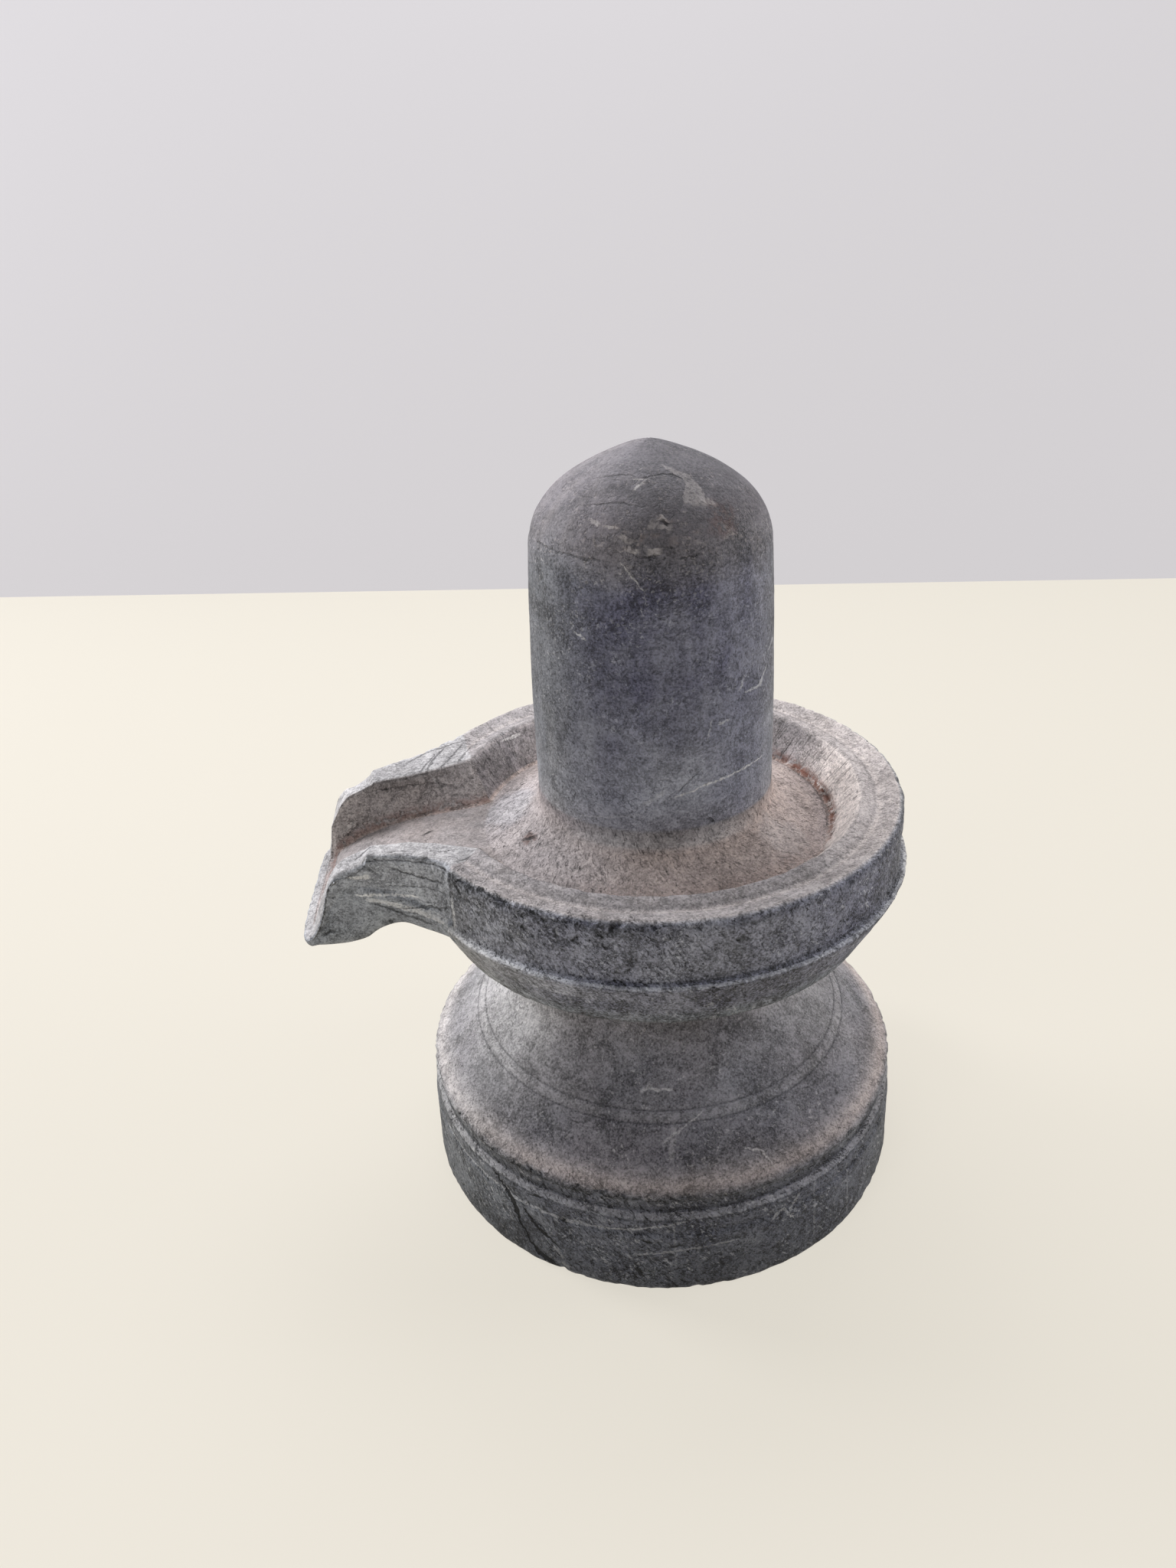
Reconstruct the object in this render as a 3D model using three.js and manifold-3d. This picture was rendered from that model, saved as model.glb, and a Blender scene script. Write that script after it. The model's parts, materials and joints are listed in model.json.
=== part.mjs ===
// A small Shivalinga carved from one block of dark grey stone: a round drum, a waisted pedestal, a
// bowl with a pouring spout, and a round-headed shaft that rises from the middle of the bowl.
//
// Millimetres, +Z up. The origin is the middle of the flat underside, on the axis the stone was
// turned about. The spout points along -X.
import * as THREE from "three";
import Module from "manifold-3d";
import { mergeVertices } from "three/addons/utils/BufferGeometryUtils.js";

const wasm = await Module();
wasm.setup();

// Drum: the cylinder that the stone stands on.
const FOOT_RADIUS = 60.1;
const FOOT_EDGE = 1.2;
const DRUM_SCORE_HEIGHT = 18;
const DRUM_SCORE_DEPTH = 0.5;
const DRUM_LEDGE_HEIGHT = 22.8;
const DRUM_LEDGE_RADIUS = 59.2;
const DRUM_BAND_RADIUS = 58.2;
const LIP_RADIUS = 58.9;
const LIP_HEIGHT = 28.2;

// Pedestal: the flare up from the drum's lip, with a double ring scored round it, and the waist.
const RING_RADIUS = 45.8;
const RING_HEIGHT = 39.9;
const RING_SPACING = 2;
const RING_DEPTH = 0.45;
const WAIST_RADIUS = 32.5;
const WAIST_HEIGHT = 58;

// Bowl: an undercut, a steep bevel, a thin ledge, the upright wall and the hollowed top.
const BEVEL_BOTTOM_RADIUS = 51.9;
const BEVEL_BOTTOM_HEIGHT = 72.6;
const LEDGE_RADIUS = 58.6;
const LEDGE_HEIGHT = 86.2;
const WALL_RADIUS = 57;
const RIM_HEIGHT = 101;
const RIM_EDGE = 1.2;
const RIM_VALLEY_RADIUS = 51.4;
const RIM_VALLEY_DEPTH = 1.1;
const BOWL_MOUTH_RADIUS = 47;
const FLOOR_EDGE_RADIUS = 41.2;
const FLOOR_EDGE_HEIGHT = 92.3;

// Shaft: slightly tapered, with a low pointed head.
const SHAFT_FOOT_RADIUS = 27.2;
const SHAFT_FOOT_HEIGHT = 99.6;
const SHAFT_RADIUS = 27;
const SHOULDER_RADIUS = 25.8;
const SHOULDER_HEIGHT = 159.5;
const TOTAL_HEIGHT = 180;

// Spout: how far it reaches, where its top starts to fall, and how wide it and its channel are.
const SPOUT_REACH = 83.2;
const SPOUT_BEND = 65.5;
const SPOUT_HALF_WIDTH = 19.8;
const SPOUT_TIP_HEIGHT = 78.8;
const SPOUT_ARCH_HEIGHT = 83.2;
const SPOUT_ROOT_RADIUS = 50;
const SPOUT_LEDGE_DEPTH = 0.9;
const CHANNEL_HALF_WIDTH = 14.2;
const CHANNEL_FLOOR_HALF_WIDTH = 12.5;
const CHANNEL_END_HEIGHT = 80.6;

// Crack: an old split down the drum's wall, below and to the side of the spout.
const CRACK_DEPTH = 1.6;
const CRACK_WIDTH = 1.5;

// How much of the widening of the channel's mouth is left at the foot of its walls.
const WALL_FLARE = 0.22;

// A height under the whole spout, and a half width and a reach past all of it, for its cutters.
const UNDER_SPOUT = 70;
const BESIDE_SPOUT = 46;
const PAST_SPOUT = SPOUT_REACH + 3;

const AROUND = 60;
const PROFILE_STEPS = 1;
const OUTLINE_STEPS = 3;

const point = (x, y) => new THREE.Vector2(x, y);

function drumProfile(path) {
  const score = DRUM_SCORE_DEPTH;
  const atScore = (FOOT_RADIUS + DRUM_LEDGE_RADIUS) / 2;
  path.moveTo(0, 0);
  path.lineTo(FOOT_RADIUS - FOOT_EDGE, 0);
  path.quadraticCurveTo(FOOT_RADIUS, 0, FOOT_RADIUS, FOOT_EDGE);
  path.lineTo(atScore, DRUM_SCORE_HEIGHT - score);
  path.lineTo(atScore - score, DRUM_SCORE_HEIGHT);
  path.lineTo(DRUM_LEDGE_RADIUS, DRUM_SCORE_HEIGHT + score);
  path.lineTo(DRUM_LEDGE_RADIUS, DRUM_LEDGE_HEIGHT - 0.4);
  path.lineTo(DRUM_BAND_RADIUS, DRUM_LEDGE_HEIGHT + 0.4);
  path.lineTo(DRUM_BAND_RADIUS, LIP_HEIGHT - 1.6);
  path.lineTo(LIP_RADIUS, LIP_HEIGHT);
  path.lineTo(LIP_RADIUS - 0.8, LIP_HEIGHT + 0.9);
}

// One scored ring: a shallow groove across the flare, at a radius on it.
function scoreFlare(path, radius, height) {
  const half = RING_SPACING / 4;
  path.lineTo(radius + half, height - half);
  path.lineTo(radius - RING_DEPTH, height - RING_DEPTH);
  path.lineTo(radius - half, height + half);
}

function pedestalProfile(path) {
  path.splineThru([point(52.5, 33.9), point(RING_RADIUS + RING_SPACING, RING_HEIGHT - 1.8)]);
  scoreFlare(path, RING_RADIUS + RING_SPACING / 2, RING_HEIGHT - RING_SPACING / 2);
  scoreFlare(path, RING_RADIUS - RING_SPACING / 2, RING_HEIGHT + RING_SPACING / 2);
  path.splineThru([point(38.4, 46.8), point(34, 53), point(WAIST_RADIUS, WAIST_HEIGHT)]);
  path.splineThru([point(34.2, 64), point(40.5, 68.8), point(BEVEL_BOTTOM_RADIUS - 1.6, 71.6)]);
  path.quadraticCurveTo(
    BEVEL_BOTTOM_RADIUS - 0.3, 71.9, BEVEL_BOTTOM_RADIUS + 0.4, BEVEL_BOTTOM_HEIGHT + 0.8,
  );
}

function bowlProfile(path) {
  path.lineTo(LEDGE_RADIUS - 0.3, LEDGE_HEIGHT - 1);
  path.lineTo(LEDGE_RADIUS, LEDGE_HEIGHT);
  path.lineTo(WALL_RADIUS, LEDGE_HEIGHT + 0.6);
  path.lineTo(WALL_RADIUS, RIM_HEIGHT - RIM_EDGE);
  path.quadraticCurveTo(WALL_RADIUS, RIM_HEIGHT, WALL_RADIUS - RIM_EDGE, RIM_HEIGHT);
  path.lineTo(RIM_VALLEY_RADIUS, RIM_HEIGHT - RIM_VALLEY_DEPTH);
  path.lineTo(BOWL_MOUTH_RADIUS + 0.4, RIM_HEIGHT);
  path.lineTo(BOWL_MOUTH_RADIUS - 0.3, RIM_HEIGHT - 0.7);
  path.lineTo(FLOOR_EDGE_RADIUS + 0.4, FLOOR_EDGE_HEIGHT + 0.5);
  path.lineTo(FLOOR_EDGE_RADIUS - 0.6, FLOOR_EDGE_HEIGHT);
}

function shaftProfile(path) {
  path.splineThru([point(34, 95.4), point(29, 97.8), point(SHAFT_FOOT_RADIUS, SHAFT_FOOT_HEIGHT)]);
  path.lineTo(SHAFT_RADIUS, 104);
  path.lineTo(SHAFT_RADIUS, 124);
  path.lineTo(26.3, 146);
  path.lineTo(SHOULDER_RADIUS, SHOULDER_HEIGHT);
  path.splineThru([point(24.6, 164.4), point(22.1, 168.4), point(17.4, 172.8), point(10, 176.7)]);
  path.lineTo(2.2, TOTAL_HEIGHT - 0.5);
  path.lineTo(0, TOTAL_HEIGHT);
}

// A closed mesh whose corners are merged, as a solid that can be joined and cut.
function solidOf(geometry) {
  geometry.deleteAttribute("normal");
  geometry.deleteAttribute("uv");
  const merged = mergeVertices(geometry, 1e-4);
  return new wasm.Manifold(
    new wasm.Mesh({
      numProp: 3,
      vertProperties: merged.attributes.position.array,
      triVerts: new Uint32Array(merged.index.array),
    }),
  );
}

function turnedBody() {
  const path = new THREE.Path();
  drumProfile(path);
  pedestalProfile(path);
  bowlProfile(path);
  shaftProfile(path);
  const geometry = new THREE.LatheGeometry(path.getPoints(PROFILE_STEPS), AROUND);
  geometry.rotateX(Math.PI / 2);
  return solidOf(geometry);
}

// A plan outline raised from one height to another.
function raised(outline, from, to) {
  const geometry = new THREE.ExtrudeGeometry(outline, {
    depth: to - from, bevelEnabled: false, curveSegments: OUTLINE_STEPS,
  });
  geometry.translate(0, 0, from);
  return geometry;
}

const raise = (outline, from, to) => solidOf(raised(outline, from, to));

// A side profile, drawn in X and Z, spread evenly to both sides of the spout's middle plane.
function spread(profile, halfWidth) {
  const geometry = new THREE.ExtrudeGeometry(profile, {
    depth: 2 * halfWidth, bevelEnabled: false, curveSegments: OUTLINE_STEPS,
  });
  geometry.rotateX(Math.PI / 2);
  geometry.translate(0, halfWidth, 0);
  return solidOf(geometry);
}

// The spout seen from above. Its +Y side swells out of the bowl sooner than its -Y side. It starts
// inside the bowl's wall, on an arc, and a swell widens it to both sides.
function spoutPlan(swell) {
  const side = SPOUT_HALF_WIDTH + swell;
  const corner = SPOUT_REACH - 2.4;
  const outline = new THREE.Shape();
  outline.absarc(0, 0, SPOUT_ROOT_RADIUS, THREE.MathUtils.degToRad(142), THREE.MathUtils.degToRad(208));
  outline.lineTo(-50.6, -26.8 - swell);
  outline.splineThru([point(-54, -23.6 - swell), point(-60, -21 - swell), point(-corner, -side)]);
  outline.quadraticCurveTo(-SPOUT_REACH, -side + 1, -SPOUT_REACH, -14);
  outline.quadraticCurveTo(-SPOUT_REACH, -3, -corner - 0.6, 7);
  outline.quadraticCurveTo(-corner + 0.6, side - 2, -corner + 5.4, side + 1);
  outline.splineThru([
    point(-65.5, 21.6 + swell), point(-59.5, 24.8 + swell), point(-52.4, 29.2), point(-45, 35.8),
  ]);
  outline.closePath();
  return outline;
}

// The spout seen from its -Y side: level with the rim, then falling like a beak to its tip.
function spoutSide() {
  const outline = new THREE.Shape();
  outline.moveTo(-38, 84);
  outline.lineTo(-38, RIM_HEIGHT);
  outline.lineTo(-SPOUT_BEND, RIM_HEIGHT);
  outline.splineThru([point(-68.4, 98.6), point(-73.6, 96), point(-76.6, 92.6), point(-78.6, 87)]);
  outline.lineTo(-SPOUT_REACH - 0.2, SPOUT_TIP_HEIGHT + 1.6);
  outline.lineTo(-SPOUT_REACH + 1.6, SPOUT_TIP_HEIGHT);
  outline.lineTo(-70, SPOUT_TIP_HEIGHT);
  outline.splineThru([point(-66.4, 81.4), point(-60.5, SPOUT_ARCH_HEIGHT), point(-54.6, 81.7)]);
  outline.lineTo(-46, 80);
  outline.closePath();
  return outline;
}

// The rough ledge along the spout's sides from the side: it runs down from the beak to the bowl.
function spoutLedgeSide() {
  const outline = new THREE.Shape();
  outline.moveTo(-44, UNDER_SPOUT);
  outline.lineTo(-44, 83.4);
  outline.splineThru([point(-55, 87.8), point(-62, 91.2), point(-71, 94)]);
  outline.lineTo(-PAST_SPOUT, 94);
  outline.lineTo(-PAST_SPOUT, UNDER_SPOUT);
  outline.closePath();
  return outline;
}

// The channel from above, along the tops of its walls: wide where it leaves the bowl, then narrower.
function channelPlan() {
  const half = CHANNEL_HALF_WIDTH;
  const outline = new THREE.Shape();
  outline.moveTo(-38, -19);
  outline.lineTo(-43.2, -19.8);
  outline.splineThru([point(-49.4, -16.8), point(-57, -half - 0.6), point(-PAST_SPOUT, -half + 1)]);
  outline.lineTo(-PAST_SPOUT, half - 1);
  outline.splineThru([point(-57, half + 0.6), point(-49.4, 16.8), point(-43.2, 19.8)]);
  outline.lineTo(-38, 19);
  outline.closePath();
  return outline;
}

// The channel from the side: level with the bowl's floor, then curving down to the tip.
function channelSide() {
  const outline = new THREE.Shape();
  outline.moveTo(-38, FLOOR_EDGE_HEIGHT + 2);
  outline.lineTo(-40.4, FLOOR_EDGE_HEIGHT + 0.3);
  outline.lineTo(-46, FLOOR_EDGE_HEIGHT - 0.2);
  outline.splineThru([
    point(-57, 91.4), point(-65, 89.4), point(-72.8, 86.3), point(-SPOUT_REACH, CHANNEL_END_HEIGHT),
  ]);
  outline.lineTo(-PAST_SPOUT, CHANNEL_END_HEIGHT - 2);
  outline.lineTo(-PAST_SPOUT, RIM_HEIGHT + 4);
  outline.lineTo(-38, RIM_HEIGHT + 4);
  outline.closePath();
  return outline;
}

// The lower half of its sides stands a little proud, as a rough ledge.
function spout() {
  const upright = raise(spoutPlan(0), UNDER_SPOUT, RIM_HEIGHT + 2);
  const swollen = raise(spoutPlan(SPOUT_LEDGE_DEPTH), UNDER_SPOUT, RIM_HEIGHT);
  const ledge = swollen.intersect(spread(spoutLedgeSide(), BESIDE_SPOUT));
  return upright.add(ledge).intersect(spread(spoutSide(), BESIDE_SPOUT));
}

// Draws the corners of a raised outline in to where the channel's walls stand at its floor.
function narrowToFloor(geometry, isAtFloor) {
  const corners = geometry.attributes.position;
  for (let i = 0; i < corners.count; i += 1) {
    const y = corners.getY(i);
    if (isAtFloor(corners.getZ(i))) {
      const flare = WALL_FLARE * (Math.abs(y) - CHANNEL_HALF_WIDTH);
      corners.setY(i, Math.sign(y) * (CHANNEL_FLOOR_HALF_WIDTH + flare));
    }
  }
  return solidOf(geometry);
}

// The channel's walls lean outwards above the bowl's floor and stand upright below it.
function channel() {
  const top = RIM_HEIGHT + 2;
  const leaning = raised(channelPlan(), FLOOR_EDGE_HEIGHT, top);
  const upright = raised(channelPlan(), UNDER_SPOUT, FLOOR_EDGE_HEIGHT + 0.5);
  const upper = narrowToFloor(leaning, (z) => z < (FLOOR_EDGE_HEIGHT + top) / 2);
  const lower = narrowToFloor(upright, () => true);
  return upper.add(lower).intersect(spread(channelSide(), BESIDE_SPOUT));
}

// Small chips knocked off the edges: [radius, angle round the axis in degrees, height, size].
function chips() {
  const knocks = [
    [59, -137, 27.8, 1.6], [59, -129, 28, 2.2], [58.8, -121, 27.6, 1.7], [58.9, -113, 28.2, 1.4],
    [58.9, -84, 28.3, 1.3], [59, -62, 27.9, 1.8], [59, 24, 28, 2], [58.9, 96, 28, 1.7],
    [57.1, -128, 100.9, 1.7], [57.2, -119, 100.6, 2.3], [57, -110, 101, 1.5], [57.1, -74, 100.8, 1.4],
    [57.1, -22, 100.9, 1.9], [57, 61, 100.8, 2.1], [57.1, 127, 100.9, 1.6],
    [41.4, -27, 92, 1.9], [41, -16, 91.8, 2.4], [41.3, -4, 92, 1.7], [41.2, 9, 91.9, 2],
  ];
  return knocks.map(([radius, angle, height, size], i) => {
    const geometry = new THREE.OctahedronGeometry(size);
    geometry.rotateX(i);
    geometry.rotateY(2 * i);
    geometry.scale(0.7, 1.3, 0.8);
    geometry.translate(radius, 0, height);
    geometry.rotateZ(THREE.MathUtils.degToRad(angle));
    return solidOf(geometry);
  }).reduce((joined, knock) => joined.add(knock));
}

// One straight stretch of a crack in the drum's wall, a wedge with its sharp edge inwards.
// Its ends are given as an angle round the axis, in degrees, and a height.
function crackStretch([fromAngle, fromHeight], [toAngle, toHeight]) {
  const wedge = new THREE.Shape();
  wedge.moveTo(-CRACK_DEPTH, 0);
  wedge.lineTo(1, -CRACK_WIDTH / 2);
  wedge.lineTo(1, CRACK_WIDTH / 2);
  wedge.closePath();
  const onWall = (angle, height) => {
    const turn = THREE.MathUtils.degToRad(angle);
    const radius = DRUM_LEDGE_RADIUS + 0.4;
    return new THREE.Vector3(radius * Math.cos(turn), radius * Math.sin(turn), height);
  };
  const start = onWall(fromAngle, fromHeight);
  const end = onWall(toAngle, toHeight);
  const along = end.clone().sub(start);
  const length = along.length();
  const outward = start.clone().add(end).setZ(0).normalize();
  const across = new THREE.Vector3().crossVectors(along.normalize(), outward).normalize();
  outward.crossVectors(across, along).normalize();
  const geometry = new THREE.ExtrudeGeometry(wedge, { depth: length, bevelEnabled: false });
  geometry.applyMatrix4(new THREE.Matrix4().makeBasis(outward, across, along));
  geometry.translate(start.x, start.y, start.z);
  return solidOf(geometry);
}

function cracks() {
  const main = [[-140, 20.6], [-135.5, 15.6], [-132.5, 8.6], [-129.6, 4.2], [-122, 0.6]];
  const branch = [[-131.8, 16], [-129, 12.6], [-125.6, 9.6]];
  const stretches = [];
  for (const line of [main, branch]) {
    for (let i = 1; i < line.length; i += 1) {
      stretches.push(crackStretch(line[i - 1], line[i]));
    }
  }
  return stretches.reduce((joined, stretch) => joined.add(stretch));
}

function shivaLingam() {
  const stone = turnedBody().add(spout()).subtract(channel()).subtract(cracks()).subtract(chips());
  const mesh = stone.getMesh();
  const geometry = new THREE.BufferGeometry();
  geometry.setAttribute("position", new THREE.BufferAttribute(mesh.vertProperties, 3));
  geometry.setIndex(new THREE.BufferAttribute(mesh.triVerts, 1));
  geometry.computeVertexNormals();
  return geometry;
}

const darkStone = new THREE.MeshStandardMaterial({ color: 0x6a6a6e, roughness: 0.85, metalness: 0 });

const group = new THREE.Group();
const stone = new THREE.Mesh(shivaLingam(), darkStone);
stone.name = "shiva_lingam";
group.add(stone);

export default group;
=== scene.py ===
"""The looks of a small Shivalinga carved from one block of dark grey stone.

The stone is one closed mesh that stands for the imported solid. It is built as rings, from the foot up
the outside, over the rim, down into the bowl and up the shaft, and its surface is then dressed: chipped
edges, chisel marks, pits, scored rings and a crack. Lengths are millimetres until the mesh is made.
"""
import json
import math

import bpy
import numpy as np
from mathutils import Matrix, Vector, noise

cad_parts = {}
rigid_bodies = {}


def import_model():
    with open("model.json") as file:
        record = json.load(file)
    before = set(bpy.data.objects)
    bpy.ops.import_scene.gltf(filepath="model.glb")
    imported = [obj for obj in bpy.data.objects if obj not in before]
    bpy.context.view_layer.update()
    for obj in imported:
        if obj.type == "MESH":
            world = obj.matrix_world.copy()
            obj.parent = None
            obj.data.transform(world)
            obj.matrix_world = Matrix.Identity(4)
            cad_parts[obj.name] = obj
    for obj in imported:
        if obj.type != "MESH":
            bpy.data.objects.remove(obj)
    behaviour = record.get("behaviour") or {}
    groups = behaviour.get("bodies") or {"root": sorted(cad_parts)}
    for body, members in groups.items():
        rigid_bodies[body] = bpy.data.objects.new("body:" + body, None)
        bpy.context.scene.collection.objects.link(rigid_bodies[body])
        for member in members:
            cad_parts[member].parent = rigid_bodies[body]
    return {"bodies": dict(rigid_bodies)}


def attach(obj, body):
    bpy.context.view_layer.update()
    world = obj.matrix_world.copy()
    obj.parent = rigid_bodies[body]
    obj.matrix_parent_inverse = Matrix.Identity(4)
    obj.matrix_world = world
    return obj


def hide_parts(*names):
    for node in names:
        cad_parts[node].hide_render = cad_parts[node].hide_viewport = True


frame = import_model()
BODY, = frame["bodies"]
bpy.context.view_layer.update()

MM = 0.001
IMAGE_HEIGHT = 2048
# The distance given to vertices that are nowhere near a row, an edge or a mark.
FAR = 99.0

# Samples round the stone: along the disc, across the spout's tip and along each of its sides.
ON_DISC = 310
ON_TIP = 64
ON_SIDE = 54
ROUND = ON_DISC + ON_TIP
# Where the spout's far root, its two corners and its near root lie on a ring.
FAR_ROOT = ON_DISC
FAR_CORNER = ON_DISC + ON_SIDE
NEAR_CORNER = FAR_CORNER + ON_TIP
WHOLE = NEAR_CORNER + ON_SIDE
# Where the disc's samples start and end if the spout doesn't shift them.
DISC_START = math.radians(-150)
DISC_END = math.radians(140)

# Drum and lip: radius and height along the outside, from the foot up.
DRUM = [
    (58.8, 0), (59.7, .35), (60.05, 1.2), (59.65, 17.2), (59.15, 17.9), (59.4, 18.6), (59.25, 22.1),
    (58.95, 22.8), (58.2, 23.25), (58.05, 24), (58.25, 26.6), (58.75, 27.4), (58.9, 28.2),
    (58.6, 28.95), (57.9, 29.5),
]
# Flare, waist and the underside of the bowl.
WAIST = [
    (57.9, 29.5), (52.5, 33.9), (46.6, 39.2), (42.9, 42.6), (38, 47.5), (34.4, 52.6), (32.4, 58.4),
    (34.2, 64.2), (40.8, 68.9), (50.3, 71.7),
]
BEVEL = [(50.3, 71.7), (51.5, 72.1), (52.2, 73.1), (56.2, 81)]
# Bowl floor's rise to the shaft, the shaft, and its rounded head.
FLOOR = [(40.7, 92.35), (36.5, 94), (31, 96.5), (28.4, 98.4), (27.3, 100.6), (27.05, 103)]
SHAFT = [
    (27.05, 103), (27, 125), (26.6, 137), (26.3, 148), (25.9, 157), (25.7, 160.3),
    (25.3, 162.3),
]
HEAD = [
    (25.3, 162.3), (24.2, 165.3), (22.3, 168.2), (19.6, 171), (15.5, 173.9), (10.2, 176.7), (5, 178.8),
    (1.2, 179.8),
]
TOTAL_HEIGHT = 180.0
WIDEST = 60.1

# The spout in plan, as (reach along -X, distance from the middle plane), from its root to its tip.
OUTER_NEAR = [
    (49.4, 28.5), (49.5, 26.8), (50.9, 25.2), (53.2, 23.6), (56.4, 22.1), (59.3, 21.1), (62.7, 20.2),
    (66, 19.8), (74, 19.7), (81.6, 19.4),
]
OUTER_FAR = [
    (43.7, 36.6), (48, 32.7), (52.4, 29.1), (56, 26.6), (59.9, 24.5), (65.6, 21.8), (71, 20.8),
    (79.2, 19.8),
]
INNER_NEAR = [
    (42.1, 21), (44.4, 19.9), (46.6, 18.9), (49.6, 17.6), (53, 16.2), (56.4, 15.4), (62.7, 15.1),
    (72.4, 14.8), (82, 14.4),
]
INNER_FAR = [
    (42.1, 20.9), (45, 19.3), (49, 17.7), (52.4, 16.8), (58.1, 15.3), (63.3, 14.5), (67.3, 14.1),
    (80.6, 13.6),
]
CREASE = [(38.9, 13.9), (42, 13.2), (46, 12.8), (57, 12.6), (70, 12.4), (82, 12.2)]
# The front of its tip, as (distance from the middle plane towards +Y, reach).
TIP = [(-20.5, 80.9), (-18.5, 82.5), (-15, 83.1), (-10, 83.1), (-3, 82.6), (5, 81.9), (14, 81),
       (18.5, 80), (21, 78.5)]

# Heights along the spout, as (reach, height): underside, side ledge, outer and inner top edge, floor.
UNDER = [
    (43, 80.8), (50.2, 81.1), (53.4, 81.5), (56.7, 82.3), (59.9, 83.3), (62.5, 83), (65.1, 82),
    (67, 80.9), (68.8, 79.7), (72.3, 78.9), (77.5, 78.7), (82, 79.1),
]
LEDGE = [
    (43, 85.8), (49, 85.8), (51.2, 86.1), (54.4, 87.5), (57.5, 89.2), (60.7, 90.5), (63.9, 91.5),
    (67.1, 92.3), (70.2, 93), (72.5, 92.2), (75.5, 88.6), (78.5, 83.4), (81.5, 80),
]
BROW = [
    (40, 101), (64.2, 101), (66.1, 100.3), (67.9, 98.9), (69.7, 97.9), (71.4, 97.3), (73.1, 96.8),
    (74.5, 95.7), (75.6, 94), (76.6, 91.2), (77.5, 88), (78.6, 85), (80.4, 81.9), (82, 80.8),
]
INNER_BROW = [
    (40, 101), (63.5, 100.9), (66.3, 100.3), (69.5, 99.1), (72.1, 98), (74.2, 95.9), (76.2, 92.3),
    (78.1, 88.4), (79.6, 85), (81, 82.2), (83, 81),
]
SPOUT_FLOOR = [
    (38, 92.4), (46, 92.2), (53.6, 91.5), (57.3, 91.2), (61.1, 90.5), (65, 89.5), (68.8, 88.3),
    (72.8, 86.3), (76.8, 83.7), (80, 81.7), (83, 80.5),
]
HEIGHTS = (UNDER, LEDGE, BROW, INNER_BROW, SPOUT_FLOOR)

# Rings from the bevel up the outside, over the rim and down to the bowl's floor. Each row has the
# disc's radius and height; in the spout its place between the outer (0), inner (1) and crease (2) line,
# how far out it is pushed, its place between the five heights (0 to 4) and a lift; at the tip how far
# back it lies and its height; and the number of rings up to the next row.
ROWS = [
    (56.2, 81, 0, -.6, 0, 0, 1.7, 78.95, 3),
    (57.3, 83.3, 0, .2, .3, .4, .7, 79.1, 3),
    (58.3, 85.2, 0, .75, 1, -1.2, .2, 79.5, 1),
    (58.55, 85.75, 0, .85, 1, -.5, .05, 79.7, 1),
    (58.3, 86.25, 0, .65, 1, 0, 0, 79.8, 2),
    (57.15, 86.7, 0, .05, 1, .6, 0, 79.9, 1),
    (57, 87.3, 0, 0, 1.05, .8, 0, 79.95, 13),
    (57, 99.3, 0, 0, 2, -1.3, 0, 80.2, 2),
    (56.6, 100.5, .03, 0, 2, -.4, .15, 80.5, 1),
    (55.6, 101, .14, 0, 2.14, 0, .6, 80.8, 4),
    (52.2, 100.05, .45, 0, 2.45, -.15, 1.2, 80.95, 2),
    (51.3, 99.9, .55, 0, 2.55, -.15, 1.4, 81, 2),
    (50.3, 100.25, .65, 0, 2.65, -.1, 1.6, 81.05, 3),
    (47.6, 101, .92, 0, 2.92, -.05, 2, 81.1, 1),
    (46.8, 100.6, 1, 0, 3, -.3, 2.3, 81.15, 1),
    (46.3, 99.9, 1.05, 0, 3.05, -.6, 2.6, 81.2, 9),
    (41.5, 93.1, 1.92, 0, 3.95, .35, 3.6, 81.6, 2),
    (40.7, 92.35, 2, -.9, 4, 0, 4.3, 81.9, 0),
]
LEDGE_ROW = 3
RIM_ROW = 8
MOUTH_ROW = 14
CREASE_ROW = 16

# Kinds of vertices, by the part of the stone that they are on.
KINDS = FOOT, PEDESTAL, UNDERSIDE, SIDES, CHANNEL, BOWL, COLUMN = range(7)

# Edges of the drum, as (radius, height).
LIP_EDGE = (58.8, 28.3)
DRUM_LEDGE = (58.9, 22.9)
FOOT_EDGE = (60.0, 0.8)
# Radii that places are unrolled on: the drum's face, the noise round the disc, and the shaft.
DRUM_RADIUS = 59.5
NOISE_RADIUS = 48
SHAFT_RADIUS = 27
# Rings scored round the flare, and the crack down the drum, as (angle in degrees, height).
SCORED_RADII = (46.8, 44.7)
CRACK = [
    (-140.4, 21), (-138.2, 18.2), (-135.5, 15.6), (-134, 11.6), (-132, 7.3), (-130, 4),
    (-127.6, 2.9), (-125.1, 1.8), (-123, .6),
]
BRANCH = [(-132.4, 16.6), (-130.2, 13.5), (-128.4, 12.4), (-126.4, 10.2)]


def blend(share, first, second):
    """Between two numbers, arrays or shader values."""
    return share * (second - first) + first


def shares(count):
    return np.arange(1, count + 1)[:, None] / count


def joined_lines(points, step):
    """Points about a step apart along the straight lines between the given points."""
    points = np.array(points, float)
    out = [points[:1]]
    for start, end in zip(points[:-1], points[1:]):
        out.append(blend(shares(max(1, round(np.linalg.norm(end - start) / step))), start, end))
    return np.vstack(out)


def curve_through(points, step):
    """Points about a step apart along a smooth curve through the given points."""
    points = np.array(points, float)
    ends = np.vstack([2 * points[0] - points[1], points, 2 * points[-1] - points[-2]])
    out = [points[:1]]
    for a, b, c, d in zip(ends[:-3], ends[1:-2], ends[2:-1], ends[3:]):
        t = shares(max(1, round(np.linalg.norm(c - b) / step)))
        out.append(0.5 * (2 * b + (c - a) * t + (2 * a - 5 * b + 4 * c - d) * t**2
                          + (3 * b - a - 3 * c + d) * t**3))
    return np.vstack(out)


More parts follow.
